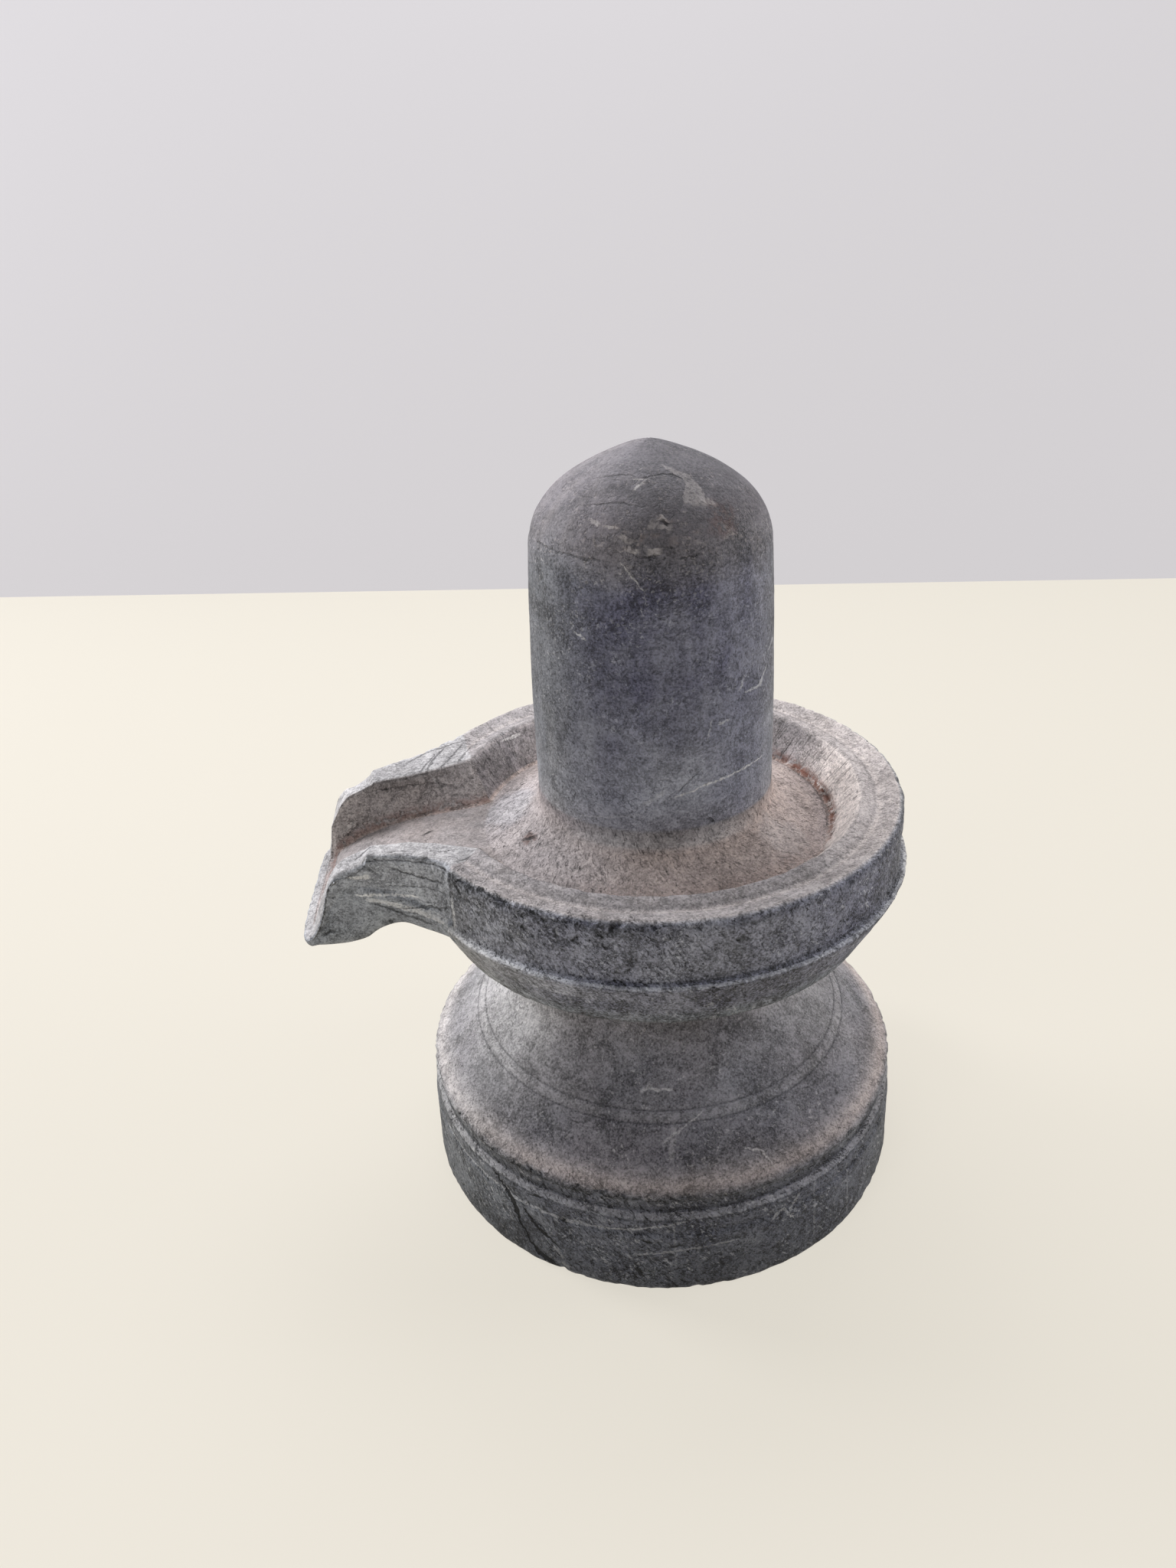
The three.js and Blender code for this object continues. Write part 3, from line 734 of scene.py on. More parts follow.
# Scratches, cracks, pits and chips: how pale (over 0) or dark each is, in hundredths, and then the
# points it runs through: x, y and z in tenths of a millimetre, and the half width in hundredths.
MARKS = [
    # On the shaft.
    (85, 4,-269,1119,12, 66,-261,1135,18, 155,-222,1144,18, 203,-180,1144,10),
    (-45, 8,-269,1133,12, 48,-265,1170,10),
    (30, -68,-260,1100,50, -31,-267,1127,40),
    (22, -190,-193,1051,12, -133,-236,1065,15, -78,-258,1077,12),
    (55, -94,-236,1617,12, -63,-253,1573,14),
    (60, -185,-187,1469,20, -173,-198,1462,22),
    (50, 241,-110,1389,20, 222,-146,1376,12),
    (55, 216,-157,1347,20, 204,-173,1329,20, 198,-180,1315,35, 162,-213,1319,15),
    (40, 151,-219,1350,30, 145,-224,1334,35),
    (50, 112,-244,1271,20, 96,-252,1270,30),
    (38, 75,-258,1275,15, 68,-261,1247,12),
    (-60, 72,-260,1049,25, 78,-259,1043,25),
    # On its head: the cream patch with its smear, chips, and the edge of the head.
    (33, 16,-104,1765,30, 30,-116,1758,60, 50,-127,1749,80, 59,-144,1738,110, 60,-156,1729,180,
     58,-170,1721,230, 56,-184,1712,220),
    (55, 70,-172,1718,35, 76,-178,1711,50),
    (40, 86,-174,1710,60, 94,-176,1705,50),
    (-45, -24,-128,1754,15, 23,-124,1754,22, 35,-132,1749,15),
    (50, -45,-124,1751,15, -30,-132,1751,15),
    (-30, -97,-93,1751,15, -56,-110,1755,15, -49,-120,1753,12),
    (65, -49,-145,1739,25, -38,-139,1745,20),
    (-30, -137,-139,1710,20, -80,-168,1716,20, -53,-186,1712,15),
    (55, -14,-212,1695,50, -9,-214,1692,40),
    (-60, -11,-219,1688,30, -8,-220,1685,25),
    (45, -6,-224,1681,60, -16,-223,1682,40),
    (30, -30,-216,1688,80, -34,-220,1682,60),
    (50, -116,-191,1682,25, -102,-199,1680,25),
    (40, -142,-166,1688,35, -133,-175,1684,30),
    (35, -39,-244,1641,60, -29,-245,1641,60),
    (35, -90,-218,1665,50, -84,-223,1661,50),
    (40, -78,-234,1644,40, -70,-237,1643,40),
    (-38, -243,-67,1625,12, -213,-132,1623,12, -180,-176,1624,15, -171,-185,1621,22, -140,-208,1622,12),
    (-45, -56,-245,1630,14, -36,-248,1631,14),
    (-35, -20,-244,1649,16, -6,-246,1648,16),
    (-45, 20,-251,1627,14, 48,-247,1627,14),
    (22, 113,-203,1667,30, 131,-202,1655,40, 110,-216,1650,30),
    # On the flare.
    (45, -109,-402,439,20, -99,-401,445,25),
    (45, -86,-406,443,20, -79,-407,439,25),
    (50, -62,-410,441,20, -50,-412,440,30),
    (42, -74,-490,365,20, 11,-457,399,16),
    (55, 103,-517,337,15, 138,-520,328,18, 156,-542,307,15),
    (20, -54,-475,381,60, -66,-516,343,60),
    # On the drum: a thin turned line that wanders up, scratches, the crack and its branch, and chips.
    (50, -575,-155,179,20, -523,-277,179,22, -474,-354,178,25, -415,-428,173,25, -340,-487,177,30,
     -296,-514,176,30, -237,-542,179,25, -179,-567,189,22, -104,-584,202,20, -58,-590,213,20),
    (50, 155,-574,170,30, 178,-566,187,30, 194,-562,161,30, 217,-552,202,25),
    (25, 260,-526,215,20, 266,-536,53,20),
    (25, 358,-473,196,20, 371,-470,35,20),
    (22, -77,-584,210,20, -73,-593,87,20),
    (38, -158,-578,114,25, -45,-595,132,20, 62,-592,139,18),
    (-94, -462,-366,215,12, -438,-394,176,20, -426,-409,162,75, -418,-419,136,50, -416,-426,104,20,
     -400,-438,74,18, -393,-446,48,25, -376,-460,29,50, -355,-475,18,40, -341,-486,9,55),
    (-90, -401,-439,153,15, -388,-452,129,42, -377,-463,117,16, -363,-472,105,45, -348,-484,94,18,
     -331,-498,78,12),
    (-60, -388,-449,211,20, -364,-468,217,20),
    (-70, -146,-580,160,30, -132,-584,156,30),
    (-60, -82,-591,142,30, -60,-594,143,30),
    (-60, -160,-579,66,50, -152,-582,50,40),
    (38, -334,-494,66,50, -326,-500,52,50),
    (38, -322,-503,29,60, -314,-509,16,50),
    # On the wall of the bowl and its broken front left edge.
    (14, -385,-420,955,150, -350,-450,920,180),
    (-45, -209,-530,979,60, -205,-531,972,40),
    (-65, -448,-346,999,40, -440,-356,996,40),
    (-65, -429,-363,1005,35, -422,-372,1003,35),
    (-55, -415,-383,1004,30, -384,-416,1003,30),
    (-60, -478,-310,984,40, -473,-318,974,40),
    (-60, -332,-461,1002,35, -323,-469,998,35),
    (-55, -382,-423,930,35, -376,-428,925,30),
    (-50, -356,-445,962,30, -348,-451,958,35),
    (-60, -256,-510,958,20, -250,-512,966,25),
    (-60, -183,-539,1001,30, -184,-540,991,30),
    # On the spout's near side, with its rough ledge.
    (-65, -608,-207,977,35, -580,-216,967,12, -558,-225,962,10, -528,-239,957,22, -512,-250,956,25),
    (-40, -508,-259,972,30, -504,-263,993,50),
    (-45, -662,-199,980,25, -650,-200,968,25),
    (-40, -644,-200,931,6, -621,-204,932,8, -589,-213,933,10, -546,-231,936,10, -512,-255,932,12),
    (95, -693,-198,913,20, -643,-207,915,30, -612,-209,911,25, -570,-223,908,20),
    (66, -672,-205,903,30, -628,-209,891,60, -600,-215,880,70, -571,-225,875,80, -538,-240,867,100,
     -512,-260,858,90),
    (-50, -602,-213,877,15, -558,-227,885,20, -529,-239,887,25, -517,-246,885,25, -500,-275,905,15),
    (-60, -660,-203,889,10, -638,-205,880,18, -617,-208,869,30, -591,-214,856,22, -567,-223,850,35,
     -543,-233,840,25),
    (100, -705,-198,960,30, -669,-200,958,50),
    (-60, -633,-198,840,40, -629,-198,828,40),
    (-60, -778,-195,817,30, -764,-196,824,30),
    (65, -489,-293,940,40, -491,-292,865,60),
    # Across the spout's tops.
    (-60, -681,-170,993,15, -659,-163,1007,15),
    (-50, -607,-191,1010,15, -578,-193,1010,12),
    (-50, -502,-210,1008,10, -484,-209,1009,10),
    (-40, -467,-248,1004,15, -445,-234,1002,15),
    (-50, -544,170,1009,20, -509,255,1010,20),
    (-55, -529,173,1010,25, -513,229,1009,20, -490,272,1010,20),
    (-50, -492,185,1009,20, -465,240,1009,20, -442,300,1004,15),
    (-55, -450,203,1009,25, -431,268,1002,25, -414,303,1000,20, -384,294,1009,15),
    (-40, -574,224,1010,30, -531,265,1011,25, -457,307,1010,20, -425,327,1006,15),
    (-35, -372,406,1009,15, -336,343,1009,15),
    # On the far inner side, the crease and the floors.
    (-40, -655,140,987,10, -583,147,986,10, -513,158,982,15, -467,156,965,30),
    (40, -521,165,997,30, -510,160,985,30),
    (75, -336,318,998,30, -312,339,995,30, -294,353,994,40),
    (-50, -736,127,879,25, -708,128,903,25),
    (35, -743,129,890,30, -715,129,912,30),
    (-50, -564,121,915,40, -527,124,920,30),
    (-50, -472,123,924,45, -440,126,926,45),
    (-70, -546,30,916,30, -534,36,916,30),
    (-55, -319,-102,952,35, -306,-108,957,45, -294,-112,963,40),
    (-45, -278,-113,970,30, -272,-114,973,30),
    (-40, 344,214,928,10, 379,144,928,20, 399,71,927,30, 405,0,927,30, 399,-71,927,30, 379,-140,927,15),
]
MARK_UNITS = (10, 10, 10, 100)
MARK_ROOM = 2.5

# Where rows lie along the outside of the bowl, over its rim and down into it, in millimetres.
ALONG = [
    0, 2.55, 4.7, 5.3, 5.86, 7.09, 7.71, 19.71, 20.98, 22.1, 25.63, 26.54, 27.6, 30.4, 31.3, 32.16, 40.48,
    41.58,
]
BEFORE_ROWS, AFTER_ROWS = -20.0, 60.0
# Lines round the stone: what they go by, where they start and end, how soft they are, how pale (over 0)
# or dark, and whether they run on the disc and on the spout. The first is the pale line along the bevel's
# ledge: it is partly dust and partly a painted highlight on its upward face. The second, just above it, is a
# painted shadow where the wall meets the ledge.
LINES = [
    ("along", 5.45, 6.4, .1, .42, 1, 0), ("along", 7, 7.6, .16, -.34, 1, 0),
    ("along", 3.6, 4.3, .25, -.18, 1, 0), ("along", 19.1, 20.2, .5, -.2, 1, 0),
    ("along", 19.5, 20, .14, -.5, 0, 1), ("along", 20.9, 22.2, .3, .14, 1, 0),
    ("along", 25.8, 26.8, .5, .16, 1, 0), ("along", 27.2, 27.9, .25, -.18, 1, 0),
    ("along", 31.1, 31.6, .2, .14, 1, 0), ("along", 31.2, 31.8, .2, -.3, 0, 1),
    ("height", 22.1, 23.3, .15, .32, 1, 1), ("height", 21.4, 21.9, .2, -.2, 1, 1),
    ("height", 71.6, 72, .12, .16, 1, 1), ("height", 72.3, 72.8, .15, -.28, 1, 1),
    ("height", 73.9, 74.2, .12, -.18, 1, 1), ("height", 75.6, 75.9, .12, -.14, 1, 1),
]
SCORE_WIDTH = 0.16


def no_marks(count):
    return {"distance": np.full(count, FAR), "off": np.full(count, FAR), "wide": np.zeros(count),
            "mark": np.zeros(count)}


def keep_closer(held, at, found):
    """Writes what was found over what is held, where it is closer."""
    closer = found["distance"] < held["distance"][at]
    for name, values in found.items():
        held[name][at[closer]] = values[closer]


def mark_near(s, strength, line):
    """The vertices near a mark, what it does to them, and how much room it takes.

    For each there is how far away the mark is, how far to its side, its half width and its strength.
    """
    places, widths = line[:, :3], line[:, 3]
    middle = (places.min(0) + places.max(0)) / 2
    reach = np.linalg.norm(places - middle, axis=1).max() + 3 * MARK_ROOM
    near = np.flatnonzero(s.from_place(*middle) < reach)
    points, normals = s.points[near], s.normals[near]
    nearest = no_marks(len(near))
    for i, (start, end) in enumerate(zip(places[:-1], places[1:])):
        length = np.linalg.norm(end - start)
        way = (end - start) / length
        at = (points - start) @ way / length
        held = np.clip(at, 0, 1)
        away = points - start - held[:, None] * (end - start)
        far = np.linalg.norm(away, axis=1)
        side = (away * np.cross(way, normals)).sum(1)
        flat = np.sqrt(np.maximum(far ** 2 - (away * normals).sum(1) ** 2, 0))
        over = length * (np.maximum(-at, 0) * (i == 0) + np.maximum(at - 1, 0) * (i == len(places) - 2))
        width = blend(held, widths[i], widths[i + 1])
        share = 1 - smooth_step(1.5 + 1.5 * width, 2.3 + 1.5 * width, far)
        keep_closer(nearest, np.arange(len(near)), {
            "distance": far, "off": np.where(over > 0, side, np.sign(side) * flat), "wide": width,
            "mark": strength * share * (1 - smooth_step(0.3, 1.0, over))})
    return near, nearest, MARK_ROOM + 1.5 * widths.max()


def mark_sets(s):
    """The marks as vertex values. Those that lie close together go to different sets."""
    sets = []
    for strength, *numbers in MARKS:
        near, found, room = mark_near(s, strength / 100, np.reshape(numbers, (-1, 4)) / MARK_UNITS)
        own = near[found["distance"] < room]
        for one, taken in sets:
            if not taken[own].any():
                break
        else:
            one, taken = no_marks(len(s.points)), np.zeros(len(s.points), bool)
            sets.append((one, taken))
        taken[own] = True
        keep_closer(one, near, found)
    return [one for one, _ in sets]


def marks_on(n, place, count):
    """How pale and how dark the marks make the surface."""
    uneven = (n.noise(place, 0.9, 2.0) - 0.5) * 1.3
    broken = blend(n.step(n.noise(place, 1.4, 2.0), 0.34, 0.50), 0.35, 1.0)
    pale = dark = 0.0
    for i in range(count):
        off = abs(n.attribute("off_%d" % i) + uneven) - n.attribute("wide_%d" % i)
        on_it = n.step(off, 0.15, -0.06) * n.attribute("mark_%d" % i)
        pale = n.math("MAXIMUM", pale, on_it)
        dark = n.math("MAXIMUM", dark, on_it * -1.0)
    return pale * broken, dark


def lines_on(n, place, height, radius):
    """How pale and how dark the lines round the stone make it."""
    uneven = n.noise(place, 1.1, 3.0) - 0.5
    broken = n.step(n.noise(place, 0.5, 3.0), 0.30, 0.52)
    go_by = {"along": n.attribute("along") + uneven, "height": height + uneven * 0.8}
    spout = n.attribute("spout")
    pale = dark = 0.0
    for source, low, high, soft, strength, on_disc, on_spout in LINES:
        on_it = n.between(go_by[source], low, high, soft) * abs(strength)
        if on_disc != on_spout:
            on_it = on_it * blend(spout, on_disc, on_spout)
        if strength > 0:
            pale = pale + on_it
        else:
            dark = dark + on_it
    flare = n.between(height, 36.0, 43.5, 0.5)
    for score in SCORED_RADII:
        on_it = n.between(radius + uneven * 0.5, score - SCORE_WIDTH, score + SCORE_WIDTH, 0.12)
        dark = dark + on_it * flare * 0.34
    return pale * blend(broken, 0.55, 1.1), dark * blend(broken, 0.4, 1.1)


def turned_place(n, x, y, height, radius):
    """Coordinates that run round the stone and up it, without a seam."""
    climb = height - radius
    cosine, sine = (n.math(name, climb * 0.012) for name in ("COSINE", "SINE"))
    x, y = x / radius, y / radius
    turned = n.xyz(x * cosine - y * sine, x * sine + y * cosine, climb * 0.0115)
    return n.vector("MULTIPLY", turned, [NOISE_RADIUS] * 3)


def stone_material(mark_count):
    material = bpy.data.materials.new("dark_stone")
    material.use_nodes = True
    tree = material.node_tree
    tree.nodes.clear()
    n = Nodes(tree)
    place = n.vector("MULTIPLY", n.make("ShaderNodeTexCoord", {}, "Object"), [1 / MM] * 3)
    x, y, height = (n.make("ShaderNodeSeparateXYZ", {0: place}, axis) for axis in range(3))
    radius = n.math("MAXIMUM", n.math("SQRT", x * x + y * y), 1.0)
    turned = turned_place(n, x, y, height, radius)
    rough, variety, blue = (n.attribute(name) for name in ("rough", "variety", "blue"))

    patches = n.noise(place, 0.085, 2.0, 0.5, 0.8)
    mottle = n.noise(place, 0.50, 5.0, 0.72, 0.2)
    grain = n.noise(place, 1.9, 3.0, 0.75)
    clusters = n.noise(n.vector("ADD", place, (37.0, 11.0, 5.0)), 0.16, 2.0, 0.5)
    specks = n.noise(n.vector("ADD", place, (5.0, 29.0, 13.0)), 1.1, 2.0, 0.6)
    veins = n.noise(place, 0.5, 3.0, 0.55, 1.0)
    level_place = n.vector("MULTIPLY", place, (0.6, 1.1, 1.3))
    strokes = blend(n.attribute("level"), n.noise(turned, 1.25, 2.0, 0.55, 0.4),
                    n.noise(level_place, 1.1, 2.0, 0.55, 0.4))

    # The bare stone.
    varied = variety * (n.step(patches * 0.50 + mottle * 0.60 + grain * 0.95, 0.79, 1.25) - 0.5)
    hue = (0.5 - patches) * 1.6 + 0.85
    slate = n.mix(n.math("MULTIPLY", blue, hue, clamp=True), SLATE, SLATE_BLUE)
    slate = n.mix(n.attribute("brown"), slate, SLATE_BROWN)
    slate = n.mix(n.attribute("green"), slate, SLATE_GREEN)
    slate = n.shade(slate, varied * 1.52 + 1.0)

    # Dust with painted sheen and painted highlight, pale flecks and pale marks on it, and rust over both.
    pale_marks, dark_marks = marks_on(n, place, mark_count)
    pale_lines, dark_lines = lines_on(n, place, height, radius)
    spread = variety * 0.64 * (n.step(mottle * 0.5 + grain * 0.5, 0.36, 0.64) - 0.5) + 1.0
    cover = n.math("MULTIPLY", n.attribute("dust_and_painted_light"), spread, clamp=True)
    fleck = n.step(strokes, 0.59, 0.68) * n.step(clusters, 0.40, 0.58) * rough * 0.62
    speck = n.step(specks, 0.605, 0.655) * blend(n.step(clusters, 0.40, 0.62), 0.12, 0.38) * variety
    cover = n.math("MAXIMUM", cover, n.math("MAXIMUM", fleck, speck))
    cover = n.math("ADD", blend(pale_marks, cover, 1.0), pale_lines, clamp=True)
    dust_and_painted_light = n.mix(n.attribute("warm"), n.mix(blue, PALE_TONE, PALE_TONE_BLUE), PALE_TONE_WARM)
    dust_and_painted_light = n.shade(n.mix(pale_marks, dust_and_painted_light, PALE_TONE), varied * 0.36 + 0.97)
    rusty = n.attribute("rust") * n.step(mottle, 0.40, 0.53)
    colour = n.mix(rusty, n.mix(cover, slate, dust_and_painted_light), RUST)

    # Low places, each with how much it darkens the stone and how deep it is in the bump.
    stroke = n.step(strokes, 0.42, 0.32) * rough
    hole = n.step(n.noise(turned, 0.95, 2.0, 0.5, 0.4), 0.39, 0.32) * n.attribute("pitted")
    vein = n.step(abs(veins - 0.5), 0.030, 0.010) * n.step(clusters, 0.48, 0.60) * blend(rough, 0.35, 1.0)
    pit = n.step(specks, 0.385, 0.335) * blend(n.step(clusters, 0.62, 0.40), 0.25, 1.0) * variety
    chips = n.step(n.noise(place, 0.75, 3.0, 0.6), 0.475, 0.415) * n.attribute("chipped")
    dark = n.attribute("shade")
    relief = (grain * 0.40 + mottle * 0.60) * blend(rough, 0.5, 1.0)
    for low, darkening, depth in (
            (stroke, 0.42, 0.55), (hole, 0.36, 0.70), (vein, 0.42, 0.40), (pit, 0.50, 0.0),
            (chips, 0.45, 0.80), (dark_marks, 1.0, 0.60), (dark_lines, 1.0, 0.40)):
        dark = dark + low * darkening
        relief = relief - low * depth
    colour = n.shade(colour, 1.0 - n.math("MINIMUM", dark, 0.94))
    bump = n.make("ShaderNodeBump", {"Height": relief, "Strength": 1.0, "Distance": 0.5 * MM})

    shader = n.make("ShaderNodeBsdfPrincipled", {
        "Base Color": colour, "Roughness": blend(cover, 0.68, 0.95), "Normal": bump,
        "Specular IOR Level": 0.3})
    tree.links.new(shader.socket, tree.nodes.new("ShaderNodeOutputMaterial").inputs[0])
    return material


# Down the outside from the foot to the bevel: height, pale dust, extra pale on the left, extra pale on the
# right, warmth of the dust, green and brown. Round the flare, the extra pale to the left and right is partly
# dust and partly painted sheen.
PEDESTAL_TONES = [
    (0, -.06, .01, -.05, 0, .15, 0), (16.8, -.01, .04, -.06, 0, .15, 0), (21.9, .02, .04, -.05, 0, .1, 0),
    (22.5, .1, .1, .02, .1, 0, 0), (23.2, .1, .1, .02, .1, 0, 0), (23.9, .05, .02, 0, 0, .1, 0),
    (27.2, .05, .02, 0, .1, .1, 0), (28.6, .06, .18, .06, .3, 0, .2), (29.2, .28, .2, .08, .5, 0, .5),
    (29.8, .44, .16, .08, .6, 0, .6), (30.7, .42, .12, .08, .5, 0, .7), (31.9, .17, .16, .06, .4, 0, .6),
    (33.5, .03, .18, .05, .2, 0, .6), (36, .02, .25, .11, .1, 0, .5), (48, .09, .54, .2, .1, 0, .5),
    (60, .16, .26, .14, .3, 0, .5), (70, .22, .18, .05, .4, .1, .4), (71.9, .11, .14, -.04, .1, .5, 0),
    (75, .13, .22, -.08, 0, .4, 0), (77, .09, .34, -.1, 0, .1, 0), (81, .09, .34, -.1, 0, 0, 0),
]
# Up the shaft and over its head: height, dust, dust on the left, dust on the right, warmth and brown.
COLUMN_TONES = [
    (100, .48, .02, 0, .5, .2), (103, .44, -.16, -.16, .15, 0), (110, .58, -.43, -.36, 0, 0),
    (118, .47, -.36, -.32, 0, 0), (124, .25, -.2, -.06, 0, 0), (136, .05, -.12, .05, 0, 0),
    (146, .04, -.14, .02, 0, 0), (156, .04, -.14, .06, .1, 0), (160, .02, -.07, 0, .2, .3),
    (163, .01, 0, -.02, .4, .6), (168, -.04, .08, -.02, .4, .9), (180, -.05, .08, -.02, .3, .9),
]


def tones_at(table, z):
    table = np.array(table)
    return [np.interp(z, table[:, 0], column) for column in table.T[1:]]


def colour_masks(s, relief):
    """What the material goes by at each vertex: its colours, shade, pits, chips, variety and part."""
    low, column, bowl, channel, spout = s.pedestal, s.column, s.bowl, s.channel, s.spout
    disc = 1 - spout
    left, right, front = s.facing(190, 75), s.facing(-5, 70), s.facing(-85, 75)
    front_right, front_left = s.facing(-38, 50), s.facing(-138, 40)
    below, wall, rim = s.rows(0, 5.5), s.rows(5.51, 8.2), s.rows(8.21, 13.9)
    inner, crease = s.rows(13.91, 16.0), s.rows(16.01, 17)
    dust_and_painted_light, warm, green, brown = np.zeros((4, len(s.points)))

    even, more_left, more_right, warm[low], green[low], brown[low] = tones_at(PEDESTAL_TONES, s.z[low])
    # Round the flare, the extra pale to the left and right is partly dust and partly painted sheen.
    far_left = s.facing(176, 62)[low]
    dust_and_painted_light[low] = even + more_left * far_left + more_right * right[low]
    warm[low] *= 1 - 0.6 * far_left
    even, more_left, more_right, warm[column], brown[column] = tones_at(COLUMN_TONES, s.z[column])
    dust_and_painted_light[column] = even + more_left * left[column] + more_right * front_right[column]

    dust_and_painted_light += below * (0.12 + 0.18 * spout - 0.08 * right * disc)
    # The ledge is paler to the front left and a little to the front right. This is partly dust and partly a
    # painted highlight on its upward face.
    dust_and_painted_light += s.rows(2.9, 5.3) * disc * (0.40 * s.facing(-158, 50) + 0.12 * s.facing(-35, 40))
    dust_and_painted_light += s.rows(0, 2.89) * disc * 0.22 * front_left
    dust_and_painted_light += wall * (0.24 + (0.22 + 0.09 * smooth_step(94.0, 97.0, s.z)) * spout
                    - disc * (0.20 * front_right + 0.09 * front_left))
    dust_and_painted_light += rim * (0.27 + 0.16 * spout + 0.22 * right * disc) + 0.06 * s.rows(8.4, 10.6) * disc
    dust_and_painted_light += inner * (0.19 + 0.70 * disc * s.facing(-22, 54) + 0.27 * spout) + crease * 0.45
    floor_z = [91, 93, 96, 98.5, 100, 103]
    dust_and_painted_light[bowl] = (np.interp(s.z, floor_z, [.52, .52, .54, .60, .60, .40]) - 0.22 * left
                  + 0.04 * s.facing(-10, 70) - 0.21 * bump_at(s.z, 92.6, 1.0) * s.facing(0, 60))[bowl]
    dust_and_painted_light[channel] = 0.28
    dust_and_painted_light[s.underside] = 0.22
    dust_and_painted_light += 0.07 * s.field(14.0, 3, 51.0) + 0.05 * s.field(5.0, 2, 71.0)
    dust_and_painted_light += 0.15 * smooth_step(0.1, 0.5, relief) - 0.35 * smooth_step(-0.3, -0.9, relief)
    specks = smooth_step(0.25, 0.55, s.field(1.7, 2, 61.0))
    specks = specks * s.facing(-84, 46) * bump_at(s.z, 167.5, 2.6) * column
    worn = s.field(4.0, 3, 81.0) * 2.5
    bare = (smooth_step(9.5, 5.5, s.from_place(-34.0, 5.5, 94.6) + worn)
            + 0.5 * smooth_step(7.0, 4.0, s.from_place(25.0, -21.0, 95.0) + worn))
    streaks = 0.07 * field(s.unrolled(SHAFT_RADIUS, s.z / 7), 3.5, 2, 23.0)
    runs = 0.06 * smooth_step(138, 148, s.z) * (bump_at(s.angle, -60, 2.5) + bump_at(s.angle, -42, 3))
    dust_and_painted_light += (0.22 * specks + s.flare * 0.09 * bump_at(s.r, 45.75, 0.75) + column * (streaks + runs)
             - 0.06 * bare)

    warm[bowl] = (np.interp(s.z, floor_z, [.65, .65, .65, .7, .75, .7]) - 0.25 * left - 0.3 * bare
                  - 0.5 * s.facing(-95, 60) * smooth_step(98.6, 100.2, s.z))[bowl]
    warm[channel] = 0.65
    warm += inner * (0.35 + 0.05 * spout) + crease * 0.8 + rim * (0.4 - 0.3 * spout) + specks
    chip = s.from_place(-30.6, -10.8, 95.6) + s.field(1.5, 2, 33.0)
    stain = s.from_place(10.8, -19.6, 168.0) + 1.5 * s.field(2.5, 2, 13.0)
    rust = s.near_row(CREASE_ROW, 1.3) * (0.12 + 0.50 * spout + 0.95 * s.facing(4, 45))
    rust += bowl * 0.22 * s.facing(-85, 60) * smooth_step(95.5, 93.0, s.z)
    rust += 0.6 * smooth_step(2.2, 1.2, chip) + 0.35 * smooth_step(5.0, 2.0, stain)

    torn = smooth_step(-0.1, 0.3, s.field(1.7, 2, 41.0))
    shade = 0.35 * torn * s.facing(8, 42) * s.near_row(CREASE_ROW, 1.0)
    shade += 0.35 * smooth_step(1.8, 0.8, chip) + s.sides * 0.30 * smooth_step(-0.25, -0.8, relief)
    shade += column * (smooth_step(164.0, 169.0, s.z) * (0.24 - 0.22 * left)
                       + 0.16 * left * bump_at(s.z, 138, 22)
                       + 0.13 * bump_at(s.z, 161.8, 1.6) * s.facing(-94, 48))
    shade += low * (0.38 * bump_at(s.z, 24.3, 0.8) + 0.32 * bump_at(s.z, 27.5, 0.7)
                    + 0.12 * front_left * bump_at(s.z, 38.5, 5.0)
                    + (s.z < 28) * (0.23 + 0.22 * smooth_step(14.0, 1.0, s.z)))

    green += spout * s.rows(0, 8) * 0.5 + s.underside * 0.6
    brown += 0.3 * s.field(18.0, 2, 91.0) * (brown > 0.05) + inner * (0.7 - 0.4 * spout) + bowl + 0.3 * rim
    blue = front * (column * np.interp(s.z, [100, 110, 125, 156, 163, 166], [.7, 1, 1, 1, .3, 0])
                    + low * np.interp(s.z, [0, 25, 29, 60, 71, 73, 81], [.6, .7, .3, .3, .4, .8, .8])
                    + (wall + below) * disc * 0.8) + spout * s.rows(0, 8) * 0.6
    pitted = (bowl * 0.8 + channel * 0.2 + inner * disc * 0.5 + rim * 0.2
              + s.rows(6.9, 9.6) * disc * 1.3 * s.facing(-128, 50))
    chipped = s.rows(6.6, 8.8) * disc * s.facing(-137, 42) + s.near_edge(LIP_EDGE, 1.6) * s.facing(-130, 50)
    masks = {"dust_and_painted_light": dust_and_painted_light, "warm": warm, "rust": rust, "shade": shade, "green": green, "brown": brown,
             "blue": blue, "pitted": pitted, "chipped": chipped, "level": spout + column, "spout": spout}
    masks = {name: np.clip(values, 0, 1) for name, values in masks.items()}
    masks["variety"] = (1 - 0.15 * bowl - 0.4 * channel - 0.1 * rim + disc * (0.4 * below + 0.25 * wall)
                        + 0.4 * (low & (s.z > 71)) - column * (0.12 + 0.33 * smooth_step(160.0, 168.0, s.z)))
    return masks


def make_stone():
    s = Surface()
    rough = roughness_of(s)
    relief = relief_of(s, rough)
    masks = colour_masks(s, relief)
    masks["rough"] = rough
    off_rows = np.where(s.pedestal | s.underside | s.foot, BEFORE_ROWS, AFTER_ROWS)
    masks["along"] = np.where(s.row >= 0, np.interp(s.row, np.arange(len(ALONG)), ALONG), off_rows)
    sets = mark_sets(s)
    for i, one in enumerate(sets):
        for name in ("off", "wide", "mark"):
            masks["%s_%d" % (name, i)] = one[name]
    stone = smooth_mesh_object("shivalinga", dress(s, relief), s.quads, s.triangles, masks)
    stone.data.materials.append(stone_material(len(sets)))
    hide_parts("shiva_lingam")
    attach(stone, BODY)


# The camera, in the frame's metres and degrees: a phone held above the spout's near side.
CAMERA_PLACE = (-0.041219, -0.233765, 0.230697)
CAMERA_HEADING = 6.25
CAMERA_PITCH = 28.66
CAMERA_ROLL = -2.85
FOCAL_PIXELS = 1503.8
SENSOR = 36.0


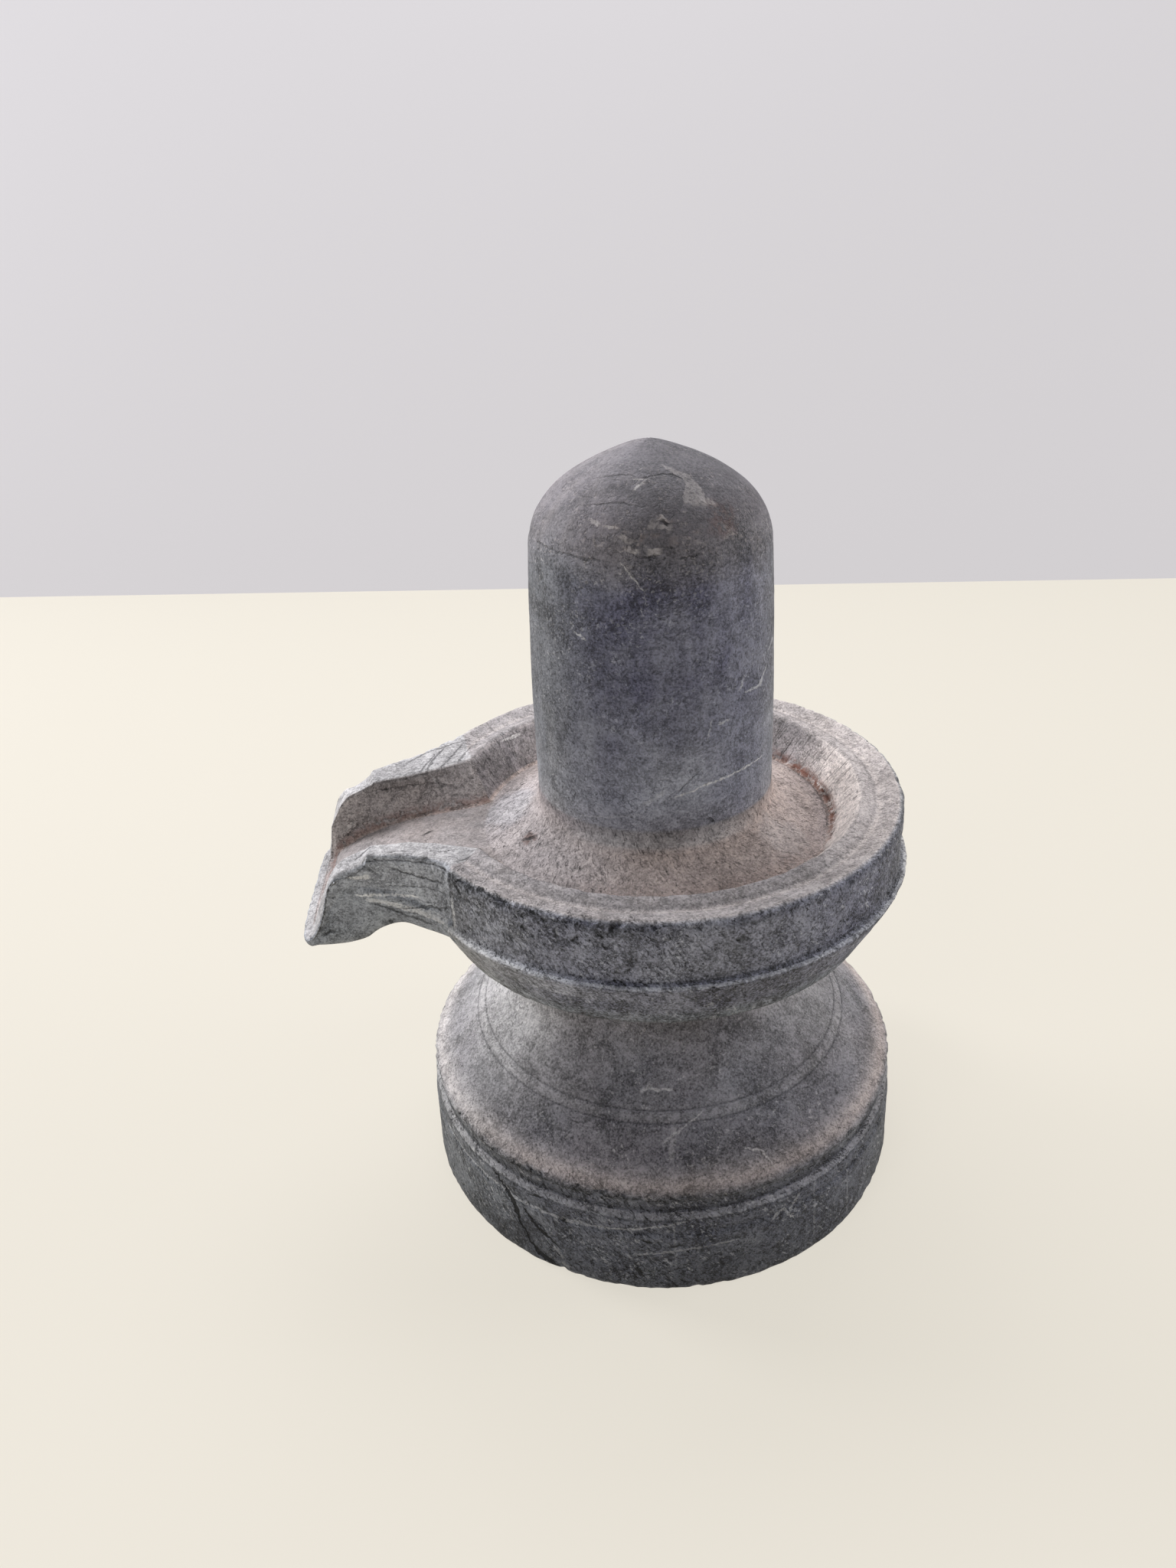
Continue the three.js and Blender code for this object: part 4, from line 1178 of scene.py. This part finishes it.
def make_camera():
    heading, pitch, roll = (math.radians(v) for v in (CAMERA_HEADING, CAMERA_PITCH, CAMERA_ROLL))
    level = Vector((math.cos(heading), -math.sin(heading), 0))
    forward = Vector((
        math.sin(heading) * math.cos(pitch), math.cos(heading) * math.cos(pitch), -math.sin(pitch)))
    upright = level.cross(forward)
    right = math.cos(roll) * level + math.sin(roll) * upright
    up = math.cos(roll) * upright - math.sin(roll) * level
    data = bpy.data.cameras.new("camera")
    data.sensor_width = SENSOR
    data.lens = FOCAL_PIXELS * SENSOR / IMAGE_HEIGHT
    data.clip_start = 0.01
    camera = linked("camera", data)
    turn = Matrix((right, up, -forward)).transposed().to_4x4()
    camera.matrix_world = Matrix.Translation(CAMERA_PLACE) @ turn
    bpy.context.scene.camera = camera


def plain_material(name, colour, glow):
    """A matt colour that also gives some light of its own, so that it looks even."""
    material = bpy.data.materials.new(name)
    material.use_nodes = True
    inputs = material.node_tree.nodes["Principled BSDF"].inputs
    for key, value in (("Base Color", colour), ("Roughness", 1.0), ("Specular IOR Level", 0.0),
                       ("Emission Color", glow), ("Emission Strength", 1.0)):
        inputs[key].default_value = value
    return material


def plane(name, corners, material):
    mesh = bpy.data.meshes.new(name)
    mesh.from_pydata(corners, [], [tuple(range(len(corners)))])
    mesh.materials.append(material)
    linked(name, mesh)


FLOOR_COLOUR = (0.120, 0.111, 0.096, 1.0)
FLOOR_GLOW = (0.668, 0.634, 0.562, 1.0)
BACKDROP_COLOUR = (0.200, 0.195, 0.200, 1.0)
BACKDROP_GLOW = (0.475, 0.460, 0.474, 1.0)
BACKDROP_DISTANCE = 0.430
BACKDROP_TURN = math.radians(-12.05)
BACKDROP_HEIGHT = 2.2
STAGE_REACH = 3.0


def make_stage():
    """A pale cream floor and, behind the stone, a pale wall with a faint pink in it."""
    reach = STAGE_REACH
    plane("floor", [(-reach, -reach, 0), (reach, -reach, 0), (reach, reach, 0), (-reach, reach, 0)],
          plain_material("floor_cream", FLOOR_COLOUR, FLOOR_GLOW))
    across = Vector((math.cos(BACKDROP_TURN), math.sin(BACKDROP_TURN), 0)) * reach
    foot = Vector((-math.sin(BACKDROP_TURN), math.cos(BACKDROP_TURN), 0)) * BACKDROP_DISTANCE
    top = Vector((0, 0, BACKDROP_HEIGHT))
    plane("backdrop", [foot - across, foot + across, foot + across + top, foot - across + top],
          plain_material("backdrop_pale", BACKDROP_COLOUR, BACKDROP_GLOW))


LIGHT_AIM = (0, 0, 0.1)
# Soft lights: name, direction round the stone and height above level in degrees, distance, width, watts.
LIGHTS = [
    ("left_back", 145, 25, 0.934, 0.35, 9.2),
    ("left_low", 180, 15, 1.0, 0.5, 0.7),
    ("above_back_left", 110, 55, 0.68, 0.35, 2.4),
    ("above_back_right", 70, 55, 0.58, 0.35, 2.1),
    ("right", 0, 15, 1.0, 0.5, 6.5),
    ("left_front", -135, 35, 1.0, 0.5, 3.5),
]
LIGHT_COLOUR = (0.97, 0.985, 1.04)
WORLD_STRENGTH = 0.02


def make_lights():
    for name, round_it, above, distance, width, watts in LIGHTS:
        turn, rise = math.radians(round_it), math.radians(above)
        towards = Vector((math.cos(turn) * math.cos(rise), math.sin(turn) * math.cos(rise), math.sin(rise)))
        data = bpy.data.lights.new(name, "AREA")
        data.shape = "DISK"
        data.size = width
        data.energy = watts
        data.color = LIGHT_COLOUR
        light = linked(name, data)
        light.location = Vector(LIGHT_AIM) + towards * distance
        light.rotation_euler = towards.to_track_quat("Z", "Y").to_euler()
    world = bpy.data.worlds.new("world")
    bpy.context.scene.world = world
    world.use_nodes = True
    world.node_tree.nodes["Background"].inputs["Strength"].default_value = WORLD_STRENGTH


def main():
    bpy.context.scene.view_settings.view_transform = "Standard"
    make_camera()
    make_stage()
    make_lights()
    make_stone()


main()
